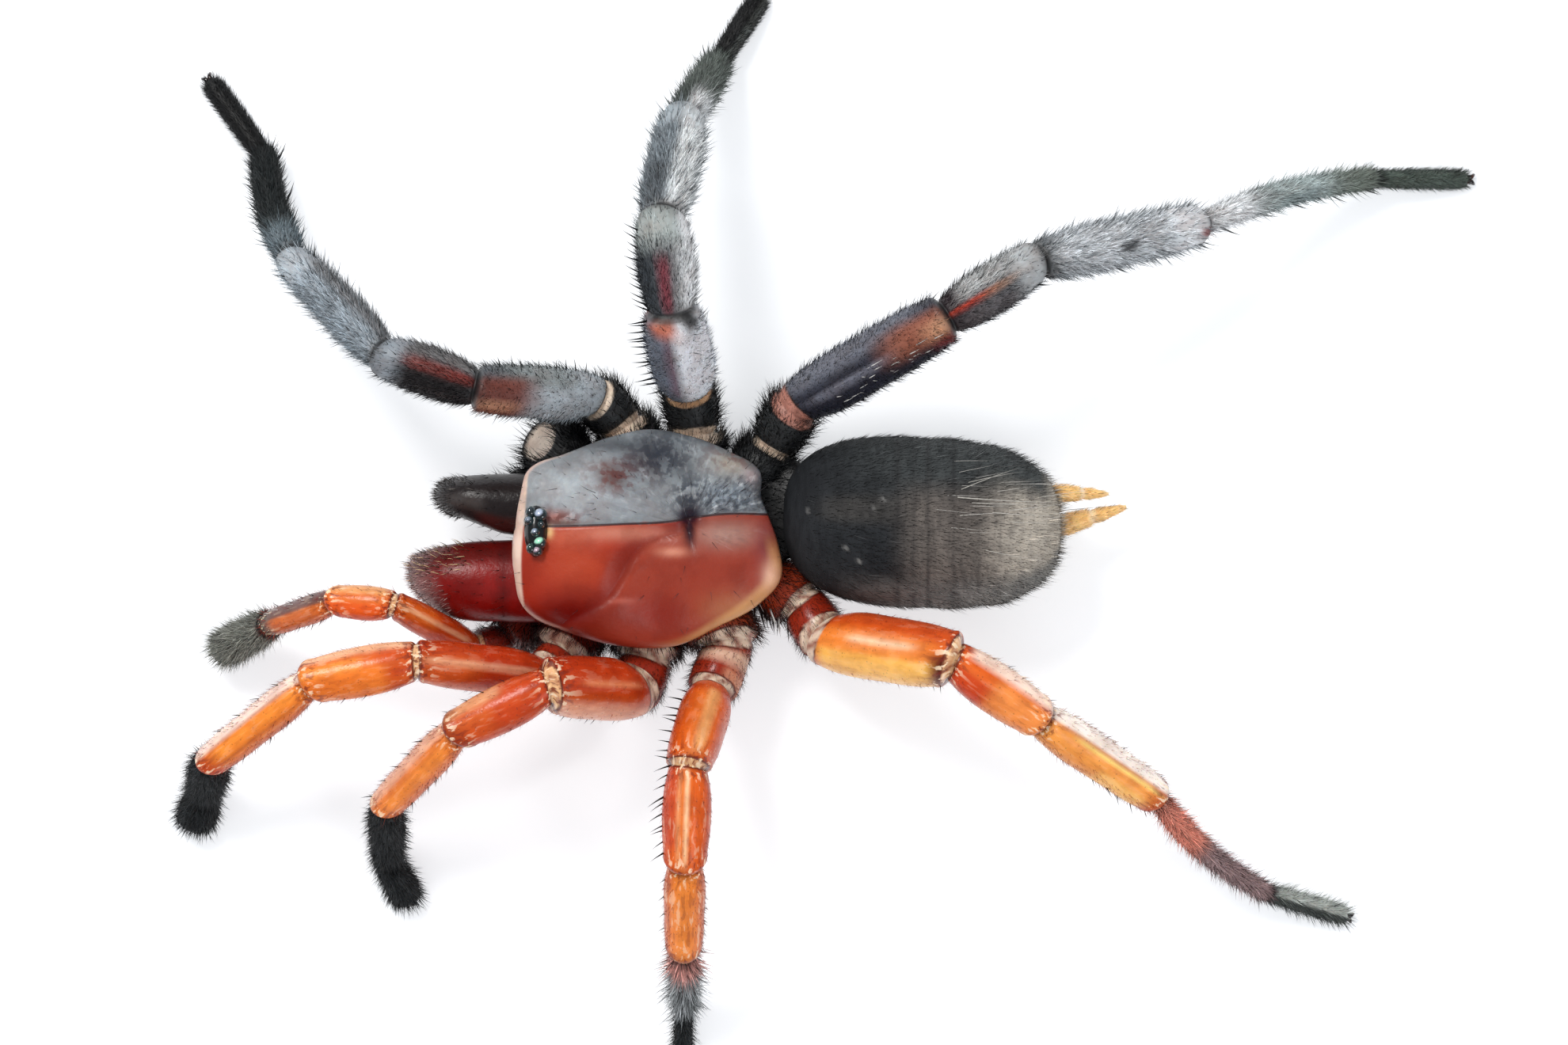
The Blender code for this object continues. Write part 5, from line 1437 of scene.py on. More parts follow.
# %% Spinnerets
SPINNERETS = {"spinneret_right": (1.66, 3.0, -1, 1.75, 2.6, 0.36),
              "spinneret_left": (0.42, 2.35, 16, 2.4, 1.9, 0.44),
              "spinneret_median": (-0.1, 1.4, -4, 0.55, 1.1, 0.28)}
SPINNERET_SHAPE = ((-0.25, 0.85), (0.0, 0.82), (0.2, 0.86), (0.42, 0.76), (0.5, 0.68),
                   (0.545, 0.5), (0.6, 0.58), (0.8, 0.42), (0.95, 0.26), (1.0, 0.14))
amber, tree, shader = start_material("amber", roughness=0.32, subsurface_weight=0.4,
                                     subsurface_scale=0.35 * MM, subsurface_radius=(1.0, 0.5, 0.2))
where = millimetres(tree)
feed(tree, shader, {"Base Color": blend(tree, ramp(tree, noise(tree, where, 4.0), 0.4, 0.65, 0.0, 0.5),
                                        point_value(tree, "tone"), (0.6, 0.3, 0.08, 1.0)),
                    "Normal": raise_surface(tree, noise(tree, where, 9.0), 0.3, 0.03)})
spinnerets = {}
for name, (across, height, turn, length, end_height, radius) in SPINNERETS.items():
    middle_x = (BELLY_FRONT[0] + BELLY_REAR[0]) / 2.0
    away = math.hypot((across - BELLY_REAR[1]) / BELLY_RADIUS,
                      (height - BELLY_REAR[2]) / (BELLY_RADIUS * BELLY_FLATTEN))
    start_x = middle_x + (BELLY_REAR[0] - middle_x) * (1.0 - away ** 2.2) ** (1.0 / 2.2)
    start = np.array((start_x, across, height))
    end = start + heading(turn) * (length + GAP)
    end[2] = end_height
    run = unit(end - start)
    shares = np.linspace(-0.25, 1.0, 30)
    rings = np.array([cross_ring(start + (end - start) * share, run, run,
                                 *(curve(share, SPINNERET_SHAPE) * radius * np.ones(2)))
                      for share in shares])
    share = np.repeat(shares[:, None], SIDES, axis=1)
    tone = np.zeros(rings.shape) + rgb(240, 196, 124)
    # Painted highlight: the pale band at the joint.
    tone = brush(tone, bell(share - 0.53, 0.05) * 0.9, rgb(240, 222, 190))
    tone = brush(tone, soft_step(share, 0.9, 0.1) * 0.8, rgb(236, 206, 160))
    tone = brush(tone, bell(share - 0.05, 0.12) * 0.5, rgb(176, 120, 70))
    piece = tube(name + "_skin", rings, {"tone": tone}, amber)
    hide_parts(name)
    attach(piece, "root")
    spinnerets[name] = (piece, rings, share, run)
print("spinnerets built:", ", ".join(spinnerets))

# %% [markdown]
# ## A coat from Geometry Nodes
# Hair follows three rules that a node tree states well: it stands where the skin lets it,
# never closer than a spacing, and it leans along the limb. The tree scatters roots on a
# skin, aims a thin three-sided cone at each, bends it down, sizes it by chance and keeps
# the skin's colour at the root. The instances are then realized into one mesh, whose
# OFBake map gives every hair a small patch at its root's place on the skin's unwrap.

# %% The coat tree
PATCH = 0.003
FLOOR_CLEARANCE = 0.005


def group_with_sockets(name, sockets):
    """An empty node group with a geometry input, further inputs and a geometry output."""
    tree = bpy.data.node_groups.new(name, "GeometryNodeTree")
    tree.interface.new_socket("Geometry", in_out="INPUT", socket_type="NodeSocketGeometry")
    for key, kind in sockets.items():
        tree.interface.new_socket(key, in_out="INPUT", socket_type="NodeSocket" + kind)
    tree.interface.new_socket("Geometry", in_out="OUTPUT", socket_type="NodeSocketGeometry")
    return tree, add_node(tree, "NodeGroupInput").outputs, add_node(tree, "NodeGroupOutput")


def field(tree, name, kind="FLOAT"):
    """A value that the skin keeps at its points, read inside a tree."""
    node = add_node(tree, "GeometryNodeInputNamedAttribute", {"Name": name}, data_type=kind)
    return find_socket(node.outputs, "Attribute")


def store(tree, geometry, name, value, kind="FLOAT2", domain="CORNER"):
    """Keep a value on the geometry under a name."""
    return add_node(tree, "GeometryNodeStoreNamedAttribute", {
        "Geometry": geometry, "Name": name, "Value": value}, data_type=kind, domain=domain).outputs[0]


def chance(tree, low_value, high_value, seed, kind="FLOAT"):
    """A random value for each point."""
    node = add_node(tree, "FunctionNodeRandomValue", {
        "Min": low_value, "Max": high_value, "Seed": seed}, data_type=kind)
    return find_socket(node.outputs, "Value")


def place_parts(tree):
    """X, Y and Z of every point's place."""
    spot = add_node(tree, "GeometryNodeInputPosition").outputs[0]
    return add_node(tree, "ShaderNodeSeparateXYZ", {0: spot}).outputs


def one_hair(tree, sides, segments, thickness, bend):
    """A cone of height 1 that bends over towards its own +X, with its own small unwrap."""
    cone = add_node(tree, "GeometryNodeMeshCone", {
        "Vertices": sides, "Side Segments": segments, "Radius Top": 0.0,
        "Radius Bottom": thickness, "Depth": 1.0}, fill_type="NGON").outputs
    mapped = store(tree, cone["Mesh"], "strand_map", cone["UV Map"])
    height = place_parts(tree)["Z"]
    push = math_node(tree, "MULTIPLY", math_node(tree, "MULTIPLY", height, height), bend)
    offset = add_node(tree, "ShaderNodeCombineXYZ", {"X": push}).outputs[0]
    return add_node(tree, "GeometryNodeSetPosition", {"Geometry": mapped, "Offset": offset}).outputs[0]


def aimed(tree, direction, bend_towards):
    """A rotation with Z along a direction and X turned towards another one."""
    upright = add_node(tree, "FunctionNodeAlignRotationToVector", {"Vector": direction}, axis="Z")
    return add_node(tree, "FunctionNodeAlignRotationToVector", {
        "Rotation": upright.outputs[0], "Vector": bend_towards}, axis="X", pivot_axis="Z").outputs[0]


def finish_coat(tree, points, hair, rotation, size, material, output):
    """Instances, made real, kept off the floor, with their bake map and material."""
    copies = add_node(tree, "GeometryNodeInstanceOnPoints", {
        "Points": points, "Instance": hair, "Rotation": rotation, "Scale": size}).outputs[0]
    real = add_node(tree, "GeometryNodeRealizeInstances", {"Geometry": copies}).outputs[0]
    parts = place_parts(tree)
    lifted = math_node(tree, "MAXIMUM", parts["Z"], FLOOR_CLEARANCE * MM)
    raised = add_node(tree, "ShaderNodeCombineXYZ", {"X": parts["X"], "Y": parts["Y"], "Z": lifted})
    settled = add_node(tree, "GeometryNodeSetPosition", {
        "Geometry": real, "Position": raised.outputs[0]}).outputs[0]
    patch = vector_node(tree, "SCALE", field(tree, "strand_map", "FLOAT_VECTOR"), scale=PATCH)
    bake_spot = vector_node(tree, "ADD", field(tree, "Unwrap", "FLOAT_VECTOR"), patch)
    baked = store(tree, settled, "OFBake", bake_spot)
    smooth = add_node(tree, "GeometryNodeSetShadeSmooth", {"Geometry": baked}).outputs[0]
    dressed = add_node(tree, "GeometryNodeSetMaterial", {"Geometry": smooth, "Material": material})
    tree.links.new(dressed.outputs[0], output.inputs[0])


tree, given, result = group_with_sockets("coat", {
    "Spacing": "Float", "Length": "Float", "Thickness": "Float", "Lift": "Float",
    "Waver": "Float", "Bend": "Float", "Shade": "Float", "Dark Share": "Float",
    "Pale Share": "Float", "Segments": "Int", "Seed": "Int", "Material": "Material"})
area = math_node(tree, "MULTIPLY", given["Spacing"], given["Spacing"])
scatter = add_node(tree, "GeometryNodeDistributePointsOnFaces", {
    "Mesh": given["Geometry"], "Distance Min": given["Spacing"],
    "Density Max": math_node(tree, "DIVIDE", 1.4, area), "Density Factor": field(tree, "cover"),
    "Seed": given["Seed"]}, distribute_method="POISSON").outputs
lie = vector_node(tree, "NORMALIZE", field(tree, "lie", "FLOAT_VECTOR"))
along = vector_node(tree, "SCALE", lie, scale=math_node(tree, "COSINE", given["Lift"]))
outward = vector_node(tree, "SCALE", scatter["Normal"], scale=math_node(tree, "SINE", given["Lift"]))
jitter = vector_node(tree, "SCALE", chance(tree, (-1.0,) * 3, (1.0,) * 3, 3, "FLOAT_VECTOR"),
                     scale=given["Waver"])
direction = vector_node(tree, "ADD", vector_node(tree, "ADD", along, outward), jitter)
shade = math_node(tree, "MULTIPLY_ADD", chance(tree, -1.0, 1.0, 5), given["Shade"], 1.0)
is_dark = math_node(tree, "LESS_THAN", chance(tree, 0.0, 1.0, 9), given["Dark Share"])
is_pale = math_node(tree, "LESS_THAN", chance(tree, 0.0, 1.0, 12), given["Pale Share"])
lit = math_node(tree, "MULTIPLY_ADD", is_pale, 0.9, 1.0)
dimmed = math_node(tree, "MULTIPLY_ADD", is_dark, -0.88, lit)
shaded = vector_node(tree, "SCALE", field(tree, "hair_tone", "FLOAT_VECTOR"),
                     scale=math_node(tree, "MULTIPLY", shade, dimmed))
tinted = store(tree, scatter["Points"], "hair_tone", shaded, "FLOAT_COLOR", "POINT")
hair = one_hair(tree, 3, given["Segments"],
                math_node(tree, "DIVIDE", given["Thickness"], given["Length"]), given["Bend"])
reached = math_node(tree, "MULTIPLY", given["Length"], field(tree, "reach"))
size = math_node(tree, "MULTIPLY", reached, chance(tree, 0.6, 1.2, 7))
turn = aimed(tree, direction, vector_node(tree, "SCALE", scatter["Normal"], scale=-1.0))
finish_coat(tree, tinted, hair, turn, size, given["Material"], result)
coat_tree = tree

tree, given, result = group_with_sockets("spines", {
    "Thickness": "Float", "Bend": "Float", "Material": "Material"})
roots = add_node(tree, "GeometryNodeMeshToPoints", {"Mesh": given["Geometry"]}).outputs[0]
spike = one_hair(tree, 6, 4, given["Thickness"], given["Bend"])
turn = aimed(tree, field(tree, "aim", "FLOAT_VECTOR"), field(tree, "lie", "FLOAT_VECTOR"))
finish_coat(tree, roots, spike, turn, field(tree, "reach"), given["Material"], result)
spine_tree = tree
print("coat tree has", len(coat_tree.nodes), "nodes, spine tree", len(spine_tree.nodes))

# %% Grow and plant
SKIN_FIELDS = ("lie", "cover", "reach", "aim", "tone", "wet", "crackle_and_glint", "seam", "frost_and_sparkle", "streak",
               "blush", "slate", "strand_map", "Unwrap", "UVMap")
# Spacing, length and thickness are millimetres, lift is in degrees.
LOOK_COLUMNS = ("Spacing", "Length", "Thickness", "Lift", "Waver", "Bend", "Shade", "Dark Share",
                "Pale Share", "Segments")
LOOKS = {
    "left_down": (0.046, 0.32, 0.01, 30, 0.38, 0.0, 0.35, 0.1, 0.1, 1),
    "right_down": (0.046, 0.32, 0.01, 30, 0.38, 0.0, 0.35, 0.2, 0.4, 1),
    "bristles": (0.13, 0.5, 0.017, 44, 0.3, 0.1, 0.2, 0.0, 0.0, 2),
    "left_brush": (0.085, 0.5, 0.014, 56, 0.3, 0.1, 0.3, 0.3, 0.2, 2),
    "right_brush": (0.085, 0.32, 0.014, 42, 0.3, 0.1, 0.3, 0.3, 0.2, 2),
    "left_skirt": (0.085, 0.62, 0.014, 48, 0.5, 0.1, 0.4, 0.0, 0.12, 2),
    "right_skirt": (0.085, 0.62, 0.014, 48, 0.5, 0.1, 0.4, 0.0, 0.05, 2),
    "velvet": (0.085, 0.3, 0.012, 22, 0.3, 0.0, 0.35, 0.3, 0.2, 1),
    "fringe": (0.16, 0.55, 0.01, 26, 0.3, 0.15, 0.4, 0.3, 0.25, 2),
    "long_hairs": (0.5, 2.0, 0.012, 10, 0.16, 0.05, 0.3, 0.1, 0.0, 3),
    "waist_and_shade": (0.13, 0.6, 0.016, 40, 0.5, 0.1, 0.3, 0.0, 0.04, 2),
    "under": (0.2, 0.7, 0.017, 35, 0.4, 0.1, 0.4, 0.5, 0.0, 2),
    "fuzz": (0.075, 0.24, 0.011, 34, 0.4, 0.0, 0.4, 0.25, 0.25, 1),
    "rake": (0.15, 0.36, 0.02, 36, 0.35, 0.2, 0.4, 0.35, 0.1, 2),
    "jaw_hairs": (0.26, 0.42, 0.012, 30, 0.3, 0.1, 0.4, 0.3, 0.1, 2),
    "shield_hairs": (0.19, 0.42, 0.009, 18, 0.55, 0.1, 0.4, 0.0, 0.25, 2),
    "spinneret_hair": (0.07, 0.22, 0.009, 22, 0.3, 0.0, 0.4, 0.2, 0.3, 1),
}
coat_count = {}


def run_tree(source, tree, inputs, name):
    """Run a tree on an object, keep the result as a plain mesh and drop the object."""
    modifier = source.modifiers.new("grow", "NODES")
    modifier.node_group = tree
    for item in tree.interface.items_tree:
        if item.in_out == "INPUT" and item.name in inputs:
            modifier[item.identifier] = inputs[item.name]
    evaluated = source.evaluated_get(bpy.context.evaluated_depsgraph_get())
    mesh = bpy.data.meshes.new_from_object(evaluated)
    for key in SKIN_FIELDS:
        if key in mesh.attributes:
            mesh.attributes.remove(mesh.attributes[key])
    bpy.data.objects.remove(source)
    coat = bpy.data.objects.new(name, mesh)
    link_object(coat)
    mesh.uv_layers["OFBake"].active_render = True
    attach(coat, "root")
    coat_count[name] = sum(len(face.vertices) - 2 for face in mesh.polygons)
    return coat


def with_poles(value):
    """Ring values as one list, with the two poles' values at its end."""
    flat = value.reshape(-1, *value.shape[2:])
    return np.concatenate((flat, value[:1].mean(axis=1), value[-1:].mean(axis=1)))


def grow(name, skin, fields, look, seed, size=1.0):
    """A coat on a skin. Fields hold cover, reach, lie and hair_tone for each point."""
    source = skin.copy()
    source.data = skin.data.copy()
    link_object(source)
    keep_at_points(source.data, {key: with_poles(value) for key, value in fields.items()})
    inputs = dict(zip(LOOK_COLUMNS, LOOKS[look]))
    inputs["Spacing"] *= MM * 1.0
    inputs["Length"] *= size * MM
    inputs["Thickness"] *= MM
    inputs["Lift"] = math.radians(inputs["Lift"])
    inputs["Seed"] = seed
    inputs["Material"] = soft_hair if inputs["Segments"] == 1 else bristle_hair
    return run_tree(source, coat_tree, inputs, name)


def plant(name, rows, thickness, bend):
    """Spines aimed one by one. A row holds root, aim, direction of bend, length and colour."""
    roots, aims, lies, lengths, tones = (np.array(column, float) for column in zip(*rows))
    mesh = bpy.data.meshes.new(name + "_roots")
    mesh.from_pydata(place(roots).tolist(), [], [])
    source = bpy.data.objects.new(name + "_roots", mesh)
    link_object(source)
    spots = np.column_stack((np.linspace(0.05, 0.95, len(roots)), np.full(len(roots), 0.5),
                             np.zeros(len(roots))))
    keep_at_points(mesh, {"aim": aims, "lie": lies, "hair_tone": tones, "Unwrap": spots,
                          "reach": lengths * MM})
    return run_tree(source, spine_tree, {"Thickness": thickness, "Bend": bend,
                                         "Material": bristle_hair}, name)


print(len(LOOKS), "looks of hair")

# %% [markdown]
# ## Hair on the limbs
# Each limb gets up to four coats. Down is short, close and lies along the limb, dense on
# the feet and on the whole grey half. Bristles are long and scattered and stand up from
# the edges. The feet also carry brushes for grip, and a skirt of long hairs closes the
# hip. The tables below say for each segment how closely a coat covers it, how long it is
# and what colour. Where the colour is None, the hair keeps the skin's own.

# %% Coats of the limbs
DOWN = {
    "left": {"coxa": (0.5, 0.9, BLACK), "trochanter": (0.2, 0.7, rgb(110, 50, 30)),
             "femur": (0.03, 0.6, RUST), "patella": (0.06, 0.6, RUST), "tibia": (0.14, 0.7, RUST),
             "metatarsus": (1.0, 1.0, SOOT), "tarsus": (1.0, 1.0, SOOT)},
    "right": {"coxa": (0.7, 1.1, BLACK), "trochanter": (0.35, 0.9, BLACK),
              "femur": (0.4, 0.9, None), "patella": (0.8, 1.1, None), "tibia": (1.0, 1.2, None),
              "metatarsus": (1.0, 1.1, None), "tarsus": (1.0, 0.9, BLACK)},
}
BRISTLES = {
    "left": {"coxa": (1.0, 0.9, BLACK), "trochanter": (0.3, 0.6, BLACK),
             "femur": (0.1, 0.5, RUST), "patella": (0.14, 0.5, RUST), "tibia": (0.4, 0.55, RUST),
             "metatarsus": (0.9, 0.7, BLACK), "tarsus": (0.8, 0.6, BLACK)},
    "right": {"coxa": (1.0, 1.1, BLACK), "trochanter": (0.5, 1.0, BLACK),
              "femur": (0.5, 0.9, SOOT), "patella": (0.6, 0.9, SOOT),
              "tibia": (0.9, 1.3, rgb(120, 127, 132)), "metatarsus": (1.0, 1.25, None),
              "tarsus": (0.8, 0.5, BLACK)},
}
HAIR_COLOURS = {
    ("palp_left", "tarsus"): rgb(160, 161, 152), ("leg_right_4", "tarsus"): rgb(66, 78, 70),
    ("leg_left_3", "metatarsus"): None, ("leg_left_3", "tarsus"): SOOT,
    ("leg_left_4", "metatarsus"): None, ("leg_left_4", "tarsus"): None,
}
BUSHY = {("leg_left_3", "metatarsus"): 1.6}
PALP_BRUSH_START = 4.87
SMALL_PALP = 0.6
DARK_SKIN = 0.9


def limb_coat_fields(name, table):
    """Cover, reach, lie and colour of a coat for every point of a limb."""
    _, rings, facts, tone = skins[name]
    limb = limbs[name]
    half = "left" if "left" in name else "right"
    index, share, before, after, across, top = limb_places(rings, facts)
    cover, reach = np.zeros(index.shape), np.ones(index.shape)
    lie, hair_tone = np.zeros(rings.shape), np.array(tone)
    foot = len(limb["kinds"]) - 1
    for i, kind in enumerate(limb["kinds"]):
        cover[index == i], length, colour = table[half][kind]
        reach[index == i] = length * BUSHY.get((name, kind), 1.0)
        lie[index == i] = limb["runs"][i]
        colour = HAIR_COLOURS.get((name, kind), colour)
        if colour is not None:
            hair_tone = brush(hair_tone, (index == i) * 0.9, colour)
    joint_gap = np.minimum(before, after)
    at_foot = (index == foot) & (before < after) | (index == foot - 1) & (after < before)
    cover *= np.where(at_foot, 1.0, soft_step(joint_gap, 0.12, 0.12))
    cover *= (np.arange(len(rings)) > 3)[:, None] * (share < 1.2)
    if half == "left":
        cover *= np.where((index > 1) & (index < 5), soft_step(np.abs(across), 0.6, 0.5), 1.0)
    else:
        cap = (index > 2) * (index < 5) * soft_step(share, 0.76, 0.08) * soft_step(top, 0.1, 0.4)
        cover *= 1.0 - 0.75 * cap
    return {"cover": cover, "reach": reach, "lie": lie, "hair_tone": hair_tone}


for number, (name, limb) in enumerate(limbs.items()):
    skin, rings, facts, tone = skins[name]
    half = "left" if "left" in name else "right"
    size = SMALL_PALP if name == "palp_right" else 1.0
    whole = np.ones(rings.shape[:2])
    edges = np.abs(np.cos(ANGLES))
    segment, share = facts[:, 0, None], facts[:, 1, None]
    grow(name + "_down", skin, limb_coat_fields(name, DOWN), half + "_down", number, size)
    bristles = limb_coat_fields(name, BRISTLES)
    bristles["cover"] *= 0.45 + 0.55 * edges
    grow(name + "_bristles", skin, bristles, "bristles", number + 20, size)
    if name not in NO_CLAWS:
        brushes = limb_coat_fields(name, DOWN)
        brush_start = len(limb["kinds"]) - (1 if half == "right" else 2)
        brushes["cover"] = (segment >= brush_start) * whole
        if name == "palp_left":
            brushes["cover"] = (segment + share > PALP_BRUSH_START) * whole
        grow(name + "_brush", skin, brushes, half + "_brush", number + 40)
    skirt = limb_coat_fields(name, BRISTLES)
    near_hip = (segment < 2) & (share < 1.1) & (np.arange(len(rings))[:, None] > 3)
    skirt["cover"] = near_hip * (0.25 + 0.75 * edges) * (tone.sum(axis=-1) < DARK_SKIN)
    grow(name + "_skirt", skin, skirt, half + "_skirt", number + 90)
print("limb coats:", sum(coat_count.values()), "triangles so far")

# %% [markdown]
# ## Velvet, fringes and rakes
# The hind body is velvet all over, with a fringe that leans backwards over the
# spinnerets and a few long pale hairs. The jaws carry a rake of stiff bristles on their
# inner upper edge and fuzz on their fronts. The coxae, the under part and the waist
# stand full of dark hair, which is what closes the view between the legs.

# %% Coats of the body
BACKWARDS = np.array((1.0, 0.0, -0.12))
LONG_HAIRS = ((5.0, 1.8, 2.2, 0.95), (4.8, 1.5, 3.7, -0.3), (5.3, 1.3, 3.1, -0.1),
              (6.0, 1.0, 2.6, -0.2), (5.2, 2.0, 2.0, 0.5), (6.6, 0.6, 2.2, -0.1),
              (5.8, -0.4, 2.2, -0.5), (6.4, 2.0, 1.6, 0.1))
LONG_HAIR_TONE = rgb(186, 182, 174)
LONG_HAIR_THICKNESS = 0.0065


def plain_fields(rings, cover, lie, colour):
    """Coat fields from plain values or grids, with hairs of full reach."""
    shape = rings.shape[:2]
    return {"cover": np.broadcast_to(cover, shape), "reach": np.ones(shape),
            "lie": np.broadcast_to(lie, rings.shape),
            "hair_tone": np.broadcast_to(colour, rings.shape)}


grow("belly_velvet", belly, plain_fields(belly_rings, 1.0, BACKWARDS, belly_tone * 0.8),
     "velvet", 61)
rear = 0.25 + 0.75 * soft_step(belly_share, 0.62, 0.2)
grow("belly_fringe", belly, plain_fields(belly_rings, rear * 0.55, BACKWARDS,
                                         belly_tone * 1.3 + 0.04), "fringe", 62)
long_cover = window(belly_share, 0.55, 0.96, 0.1) * window(belly_across, -0.1, 0.75, 0.2)
grow("belly_long_hairs", belly, plain_fields(belly_rings, long_cover, BACKWARDS,
                                             rgb(214, 210, 204)), "long_hairs", 63)
rows = []
for hair_x, hair_y, run_x, run_y in LONG_HAIRS:
    away = np.hypot(belly_rings[..., 0] - hair_x, belly_rings[..., 1] - hair_y)
    away = away + FAR * (belly_rings[..., 2] < BELLY_REAR[2])
    root = belly_rings[np.unravel_index(np.argmin(away), away.shape)] + UP * 0.03
    rows.append((root, unit(np.array((run_x, run_y, 0.12))), BACKWARDS, math.hypot(run_x, run_y),
                 LONG_HAIR_TONE))
plant("belly_guard_hairs", rows, LONG_HAIR_THICKNESS, 0.06)

waist_lie = unit(np.array((1.0, 0.0, 0.1)))
grow("waist_and_shade_hair", waist_and_shade, plain_fields(waist_and_shade_rings, 1.0, waist_lie, BLACK), "waist_and_shade", 64)
core_lie = unit(core_rings - CORE_CENTRE - UP * 2.6)
grow("under_hair", core_skin, plain_fields(core_rings, 0.9, core_lie, rgb(70, 34, 26)),
     "under", 65)

for name, (piece, rings, share, turns) in jaws.items():
    left = name == "chelicera_left"
    fuzz_tone = rgb(176, 148, 144) if left else rgb(62, 56, 54)
    grow(name + "_fuzz", piece, plain_fields(rings, soft_step(share, 0.72, 0.3),
                                             (-1.0, 0.0, -0.2), fuzz_tone), "fuzz", 70 + left)
    inner_edge = window(np.cos(turns), 0.25, 0.95, 0.2) * (np.sin(turns) > 0)
    rake = window(share, 0.35, 0.97, 0.15) * inner_edge * (1.0 if left else 0.5)
    rake_tone = rgb(226, 196, 150) if left else rgb(120, 112, 106)
    grow(name + "_rake", piece, plain_fields(rings, rake, (-1.0, 0.0, 0.1), rake_tone),
         "rake", 72 + left)
    spread = window(share, 0.0, 1.1, 0.2)
    hair_tone = rgb(60, 20, 16) if left else BLACK
    grow(name + "_hairs", piece, plain_fields(rings, spread * 0.6, (-1.0, 0.0, 0.0), hair_tone),
         "jaw_hairs", 74 + left)

shield_lie = np.stack((shield_rings[..., 0] - PIT[0], shield_rings[..., 1] - PIT[1],
                       np.zeros(shield_rings.shape[:2])), axis=-1)
shield_cover = (shield_values["frost_and_sparkle"] * 0.9 + 0.05) * (shield_rings[..., 2] > 4.2)
grow("shield_hairs", shield, plain_fields(shield_rings, shield_cover, unit(shield_lie + 1e-6),
                                          rgb(52, 48, 52)), "shield_hairs", 80)
for name, (piece, rings, share, run) in spinnerets.items():
    grow(name + "_hair", piece, plain_fields(rings, soft_step(share, 0.0, 0.1), run,
                                             rgb(236, 204, 154)), "spinneret_hair", 85)
print("all coats:", sum(coat_count.values()), "triangles; fullest", max(coat_count.values()))

# %% [markdown]
# ## Spines
# Spines are thick bristles set in rows, so they are planted one by one: the row names
# the segment, the side of the leg (0 is the right of its heading, 90 its back, 180 its
# left), how many, from where to where, how long, how steeply they stand and, where they
# aren't black, their colour. The combs on the knees and thighs of the third legs are
# what the living animal pushes earth with.

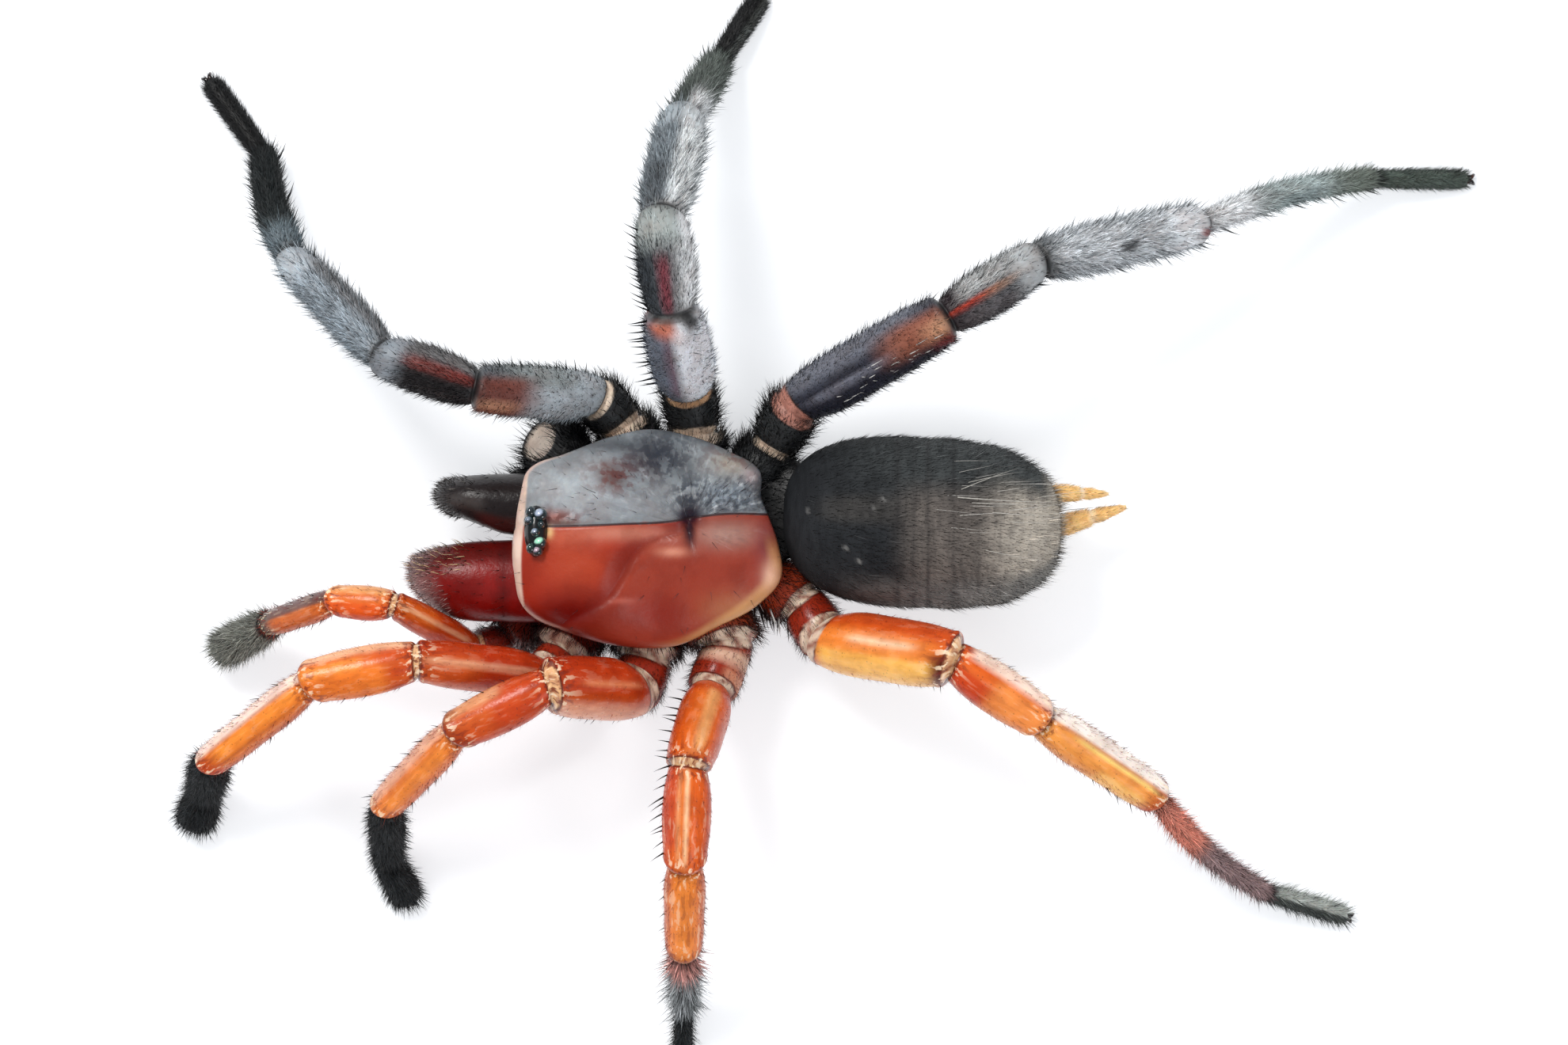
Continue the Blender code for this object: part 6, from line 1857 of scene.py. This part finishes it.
# %% Plant the spines
FROSTED = rgb(206, 204, 200)
PALE_HAIR = rgb(226, 206, 190)
MARK = rgb(70, 74, 78)
SPINE_THICKNESS = 0.06
SPINE_BEND = 0.12
SPINES = {
    "leg_left_1": (
        ("metatarsus", 5, 4, 0.2, 0.95, 0.36, 55),
        ("tibia", 5, 16, 0.05, 0.98, 0.26, 32, PALE_HAIR), ("tibia", 20, 5, 0.2, 0.95, 0.4, 45),
        ("tibia", 160, 4, 0.3, 0.95, 0.35, 45), ("patella", 165, 3, 0.5, 0.95, 0.3, 50)),
    "leg_left_2": (
        ("metatarsus", 5, 6, 0.1, 0.95, 0.5, 60), ("metatarsus", 175, 6, 0.1, 0.95, 0.5, 60),
        ("tarsus", 5, 5, 0.1, 0.9, 0.42, 50), ("tarsus", 175, 5, 0.1, 0.9, 0.42, 50),
        ("tibia", 5, 16, 0.05, 0.98, 0.26, 32, PALE_HAIR), ("tibia", 20, 6, 0.1, 0.95, 0.42, 50),
        ("tibia", 160, 5, 0.2, 0.95, 0.4, 50), ("patella", 15, 4, 0.4, 0.95, 0.36, 50),
        ("femur", 200, 6, 0.1, 0.7, 0.34, 60)),
    "leg_left_3": (
        ("femur", 5, 9, 0.12, 0.97, 0.56, 80), ("patella", 5, 10, 0.03, 0.88, 0.62, 68),
        ("tibia", 5, 5, 0.2, 0.95, 0.36, 50), ("tibia", 175, 6, 0.2, 0.98, 0.34, 50),
        ("metatarsus", 20, 4, 0.2, 0.95, 0.5, 40), ("metatarsus", 160, 4, 0.2, 0.95, 0.5, 40)),
    "leg_left_4": (
        ("patella", 172, 14, 0.2, 1.0, 0.34, 30, PALE_HAIR),
        ("tibia", 172, 20, 0.05, 0.98, 0.36, 30, PALE_HAIR), ("coxa", 12, 8, 0.3, 1.0, 0.9, 55),
        ("coxa", 30, 7, 0.3, 1.0, 0.8, 50, FROSTED), ("patella", 165, 5, 0.3, 0.95, 0.3, 45),
        ("tibia", 10, 5, 0.55, 0.98, 0.42, 42), ("tibia", 170, 5, 0.3, 0.95, 0.3, 45),
        ("metatarsus", 15, 6, 0.1, 0.95, 0.45, 42), ("metatarsus", 165, 6, 0.1, 0.95, 0.42, 42),
        ("femur", 10, 3, 0.85, 0.98, 0.3, 60)),
    "palp_left": (
        ("tarsus", 5, 7, 0.05, 0.9, 0.4, 50), ("tarsus", 175, 7, 0.05, 0.9, 0.4, 50),
        ("tibia", 30, 12, 0.05, 0.98, 0.26, 20, FROSTED), ("tibia", 20, 5, 0.2, 0.95, 0.36, 50),
        ("tibia", 160, 5, 0.2, 0.95, 0.32, 50)),
    "leg_right_2": (
        ("femur", 20, 12, 0.02, 0.85, 0.55, 66), ("femur", 50, 8, 0.1, 0.7, 0.4, 50),
        ("tibia", 15, 5, 0.15, 0.9, 0.6, 46), ("tibia", 165, 4, 0.3, 0.9, 0.55, 40),
        ("metatarsus", 10, 5, 0.1, 0.9, 0.85, 42), ("metatarsus", 170, 5, 0.1, 0.9, 0.6, 38)),
    "leg_right_3": (
        ("femur", 50, 7, 0.1, 0.85, 0.2, 20), ("femur", 28, 7, 0.1, 0.85, 0.2, 20),
        ("femur", 175, 14, 0.06, 0.97, 0.72, 80), ("patella", 175, 12, 0.05, 0.85, 0.62, 66),
        ("tibia", 50, 7, 0.1, 0.95, 0.3, 16, MARK), ("tibia", 100, 8, 0.1, 0.95, 0.3, 16, MARK),
        ("tibia", 170, 4, 0.2, 0.8, 0.62, 34), ("tibia", 15, 3, 0.3, 0.8, 0.55, 34),
        ("metatarsus", 165, 5, 0.2, 0.95, 0.6, 34), ("metatarsus", 15, 4, 0.2, 0.95, 0.5, 36)),
    "leg_right_4": (
        ("femur", 68, 13, 0.3, 0.85, 0.42, 6, FROSTED),
        ("femur", 52, 13, 0.25, 0.9, 0.42, 8, FROSTED),
        ("femur", 60, 9, 0.3, 0.8, 0.3, 40, FROSTED), ("patella", 170, 5, 0.05, 0.6, 0.5, 50),
        ("patella", 5, 5, 0.1, 0.9, 0.55, 34), ("tibia", 55, 9, 0.1, 0.95, 0.3, 16, MARK),
        ("tibia", 85, 9, 0.15, 0.95, 0.3, 16, MARK), ("tibia", 120, 9, 0.1, 0.95, 0.3, 16, MARK),
        ("tibia", 170, 7, 0.05, 0.95, 0.5, 42), ("tibia", 5, 6, 0.1, 0.95, 0.5, 40),
        ("metatarsus", 10, 5, 0.1, 0.95, 0.8, 36), ("metatarsus", 170, 5, 0.1, 0.95, 0.45, 40)),
}
luck = np.random.default_rng(12)
for name, rows in SPINES.items():
    _, rings, facts, _ = skins[name]
    limb = limbs[name]
    spines = []
    for kind, angle, count, first, last, length, lift, *paint in rows:
        segment = limb["kinds"].index(kind)
        for share in np.linspace(first, last, count):
            share += luck.uniform(-0.03, 0.03) * bool(paint)
            row = int(np.argmin(np.where(facts[:, 0] == segment, np.abs(facts[:, 1] - share), FAR)))
            turn = (angle + luck.uniform(-9.0, 9.0) * (1 + bool(paint))) % 360.0
            place_on_ring = rings[row, int(round(turn / 360.0 * SIDES)) % SIDES]
            away = unit(place_on_ring - rings[row].mean(axis=0))
            tilt = math.radians(lift + luck.uniform(-9.0, 9.0))
            aim = away * math.sin(tilt) + limb["runs"][segment] * math.cos(tilt)
            reach = length * luck.uniform(0.75, 1.15)
            colour = (paint[0] if paint else BLACK) * luck.uniform(0.7, 1.4)
            spines.append((place_on_ring - away * 0.02, aim, limb["runs"][segment], reach, colour))
    plant(name + "_spines", spines,
          SPINE_THICKNESS, SPINE_BEND)
print(sum(row[2] for rows in SPINES.values() for row in rows), "spines planted")

# %% The last word to the frame
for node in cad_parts.values():
    shader = node.data.materials[0].node_tree.nodes["Principled BSDF"]
    shader.inputs["Roughness"].default_value = 0.4
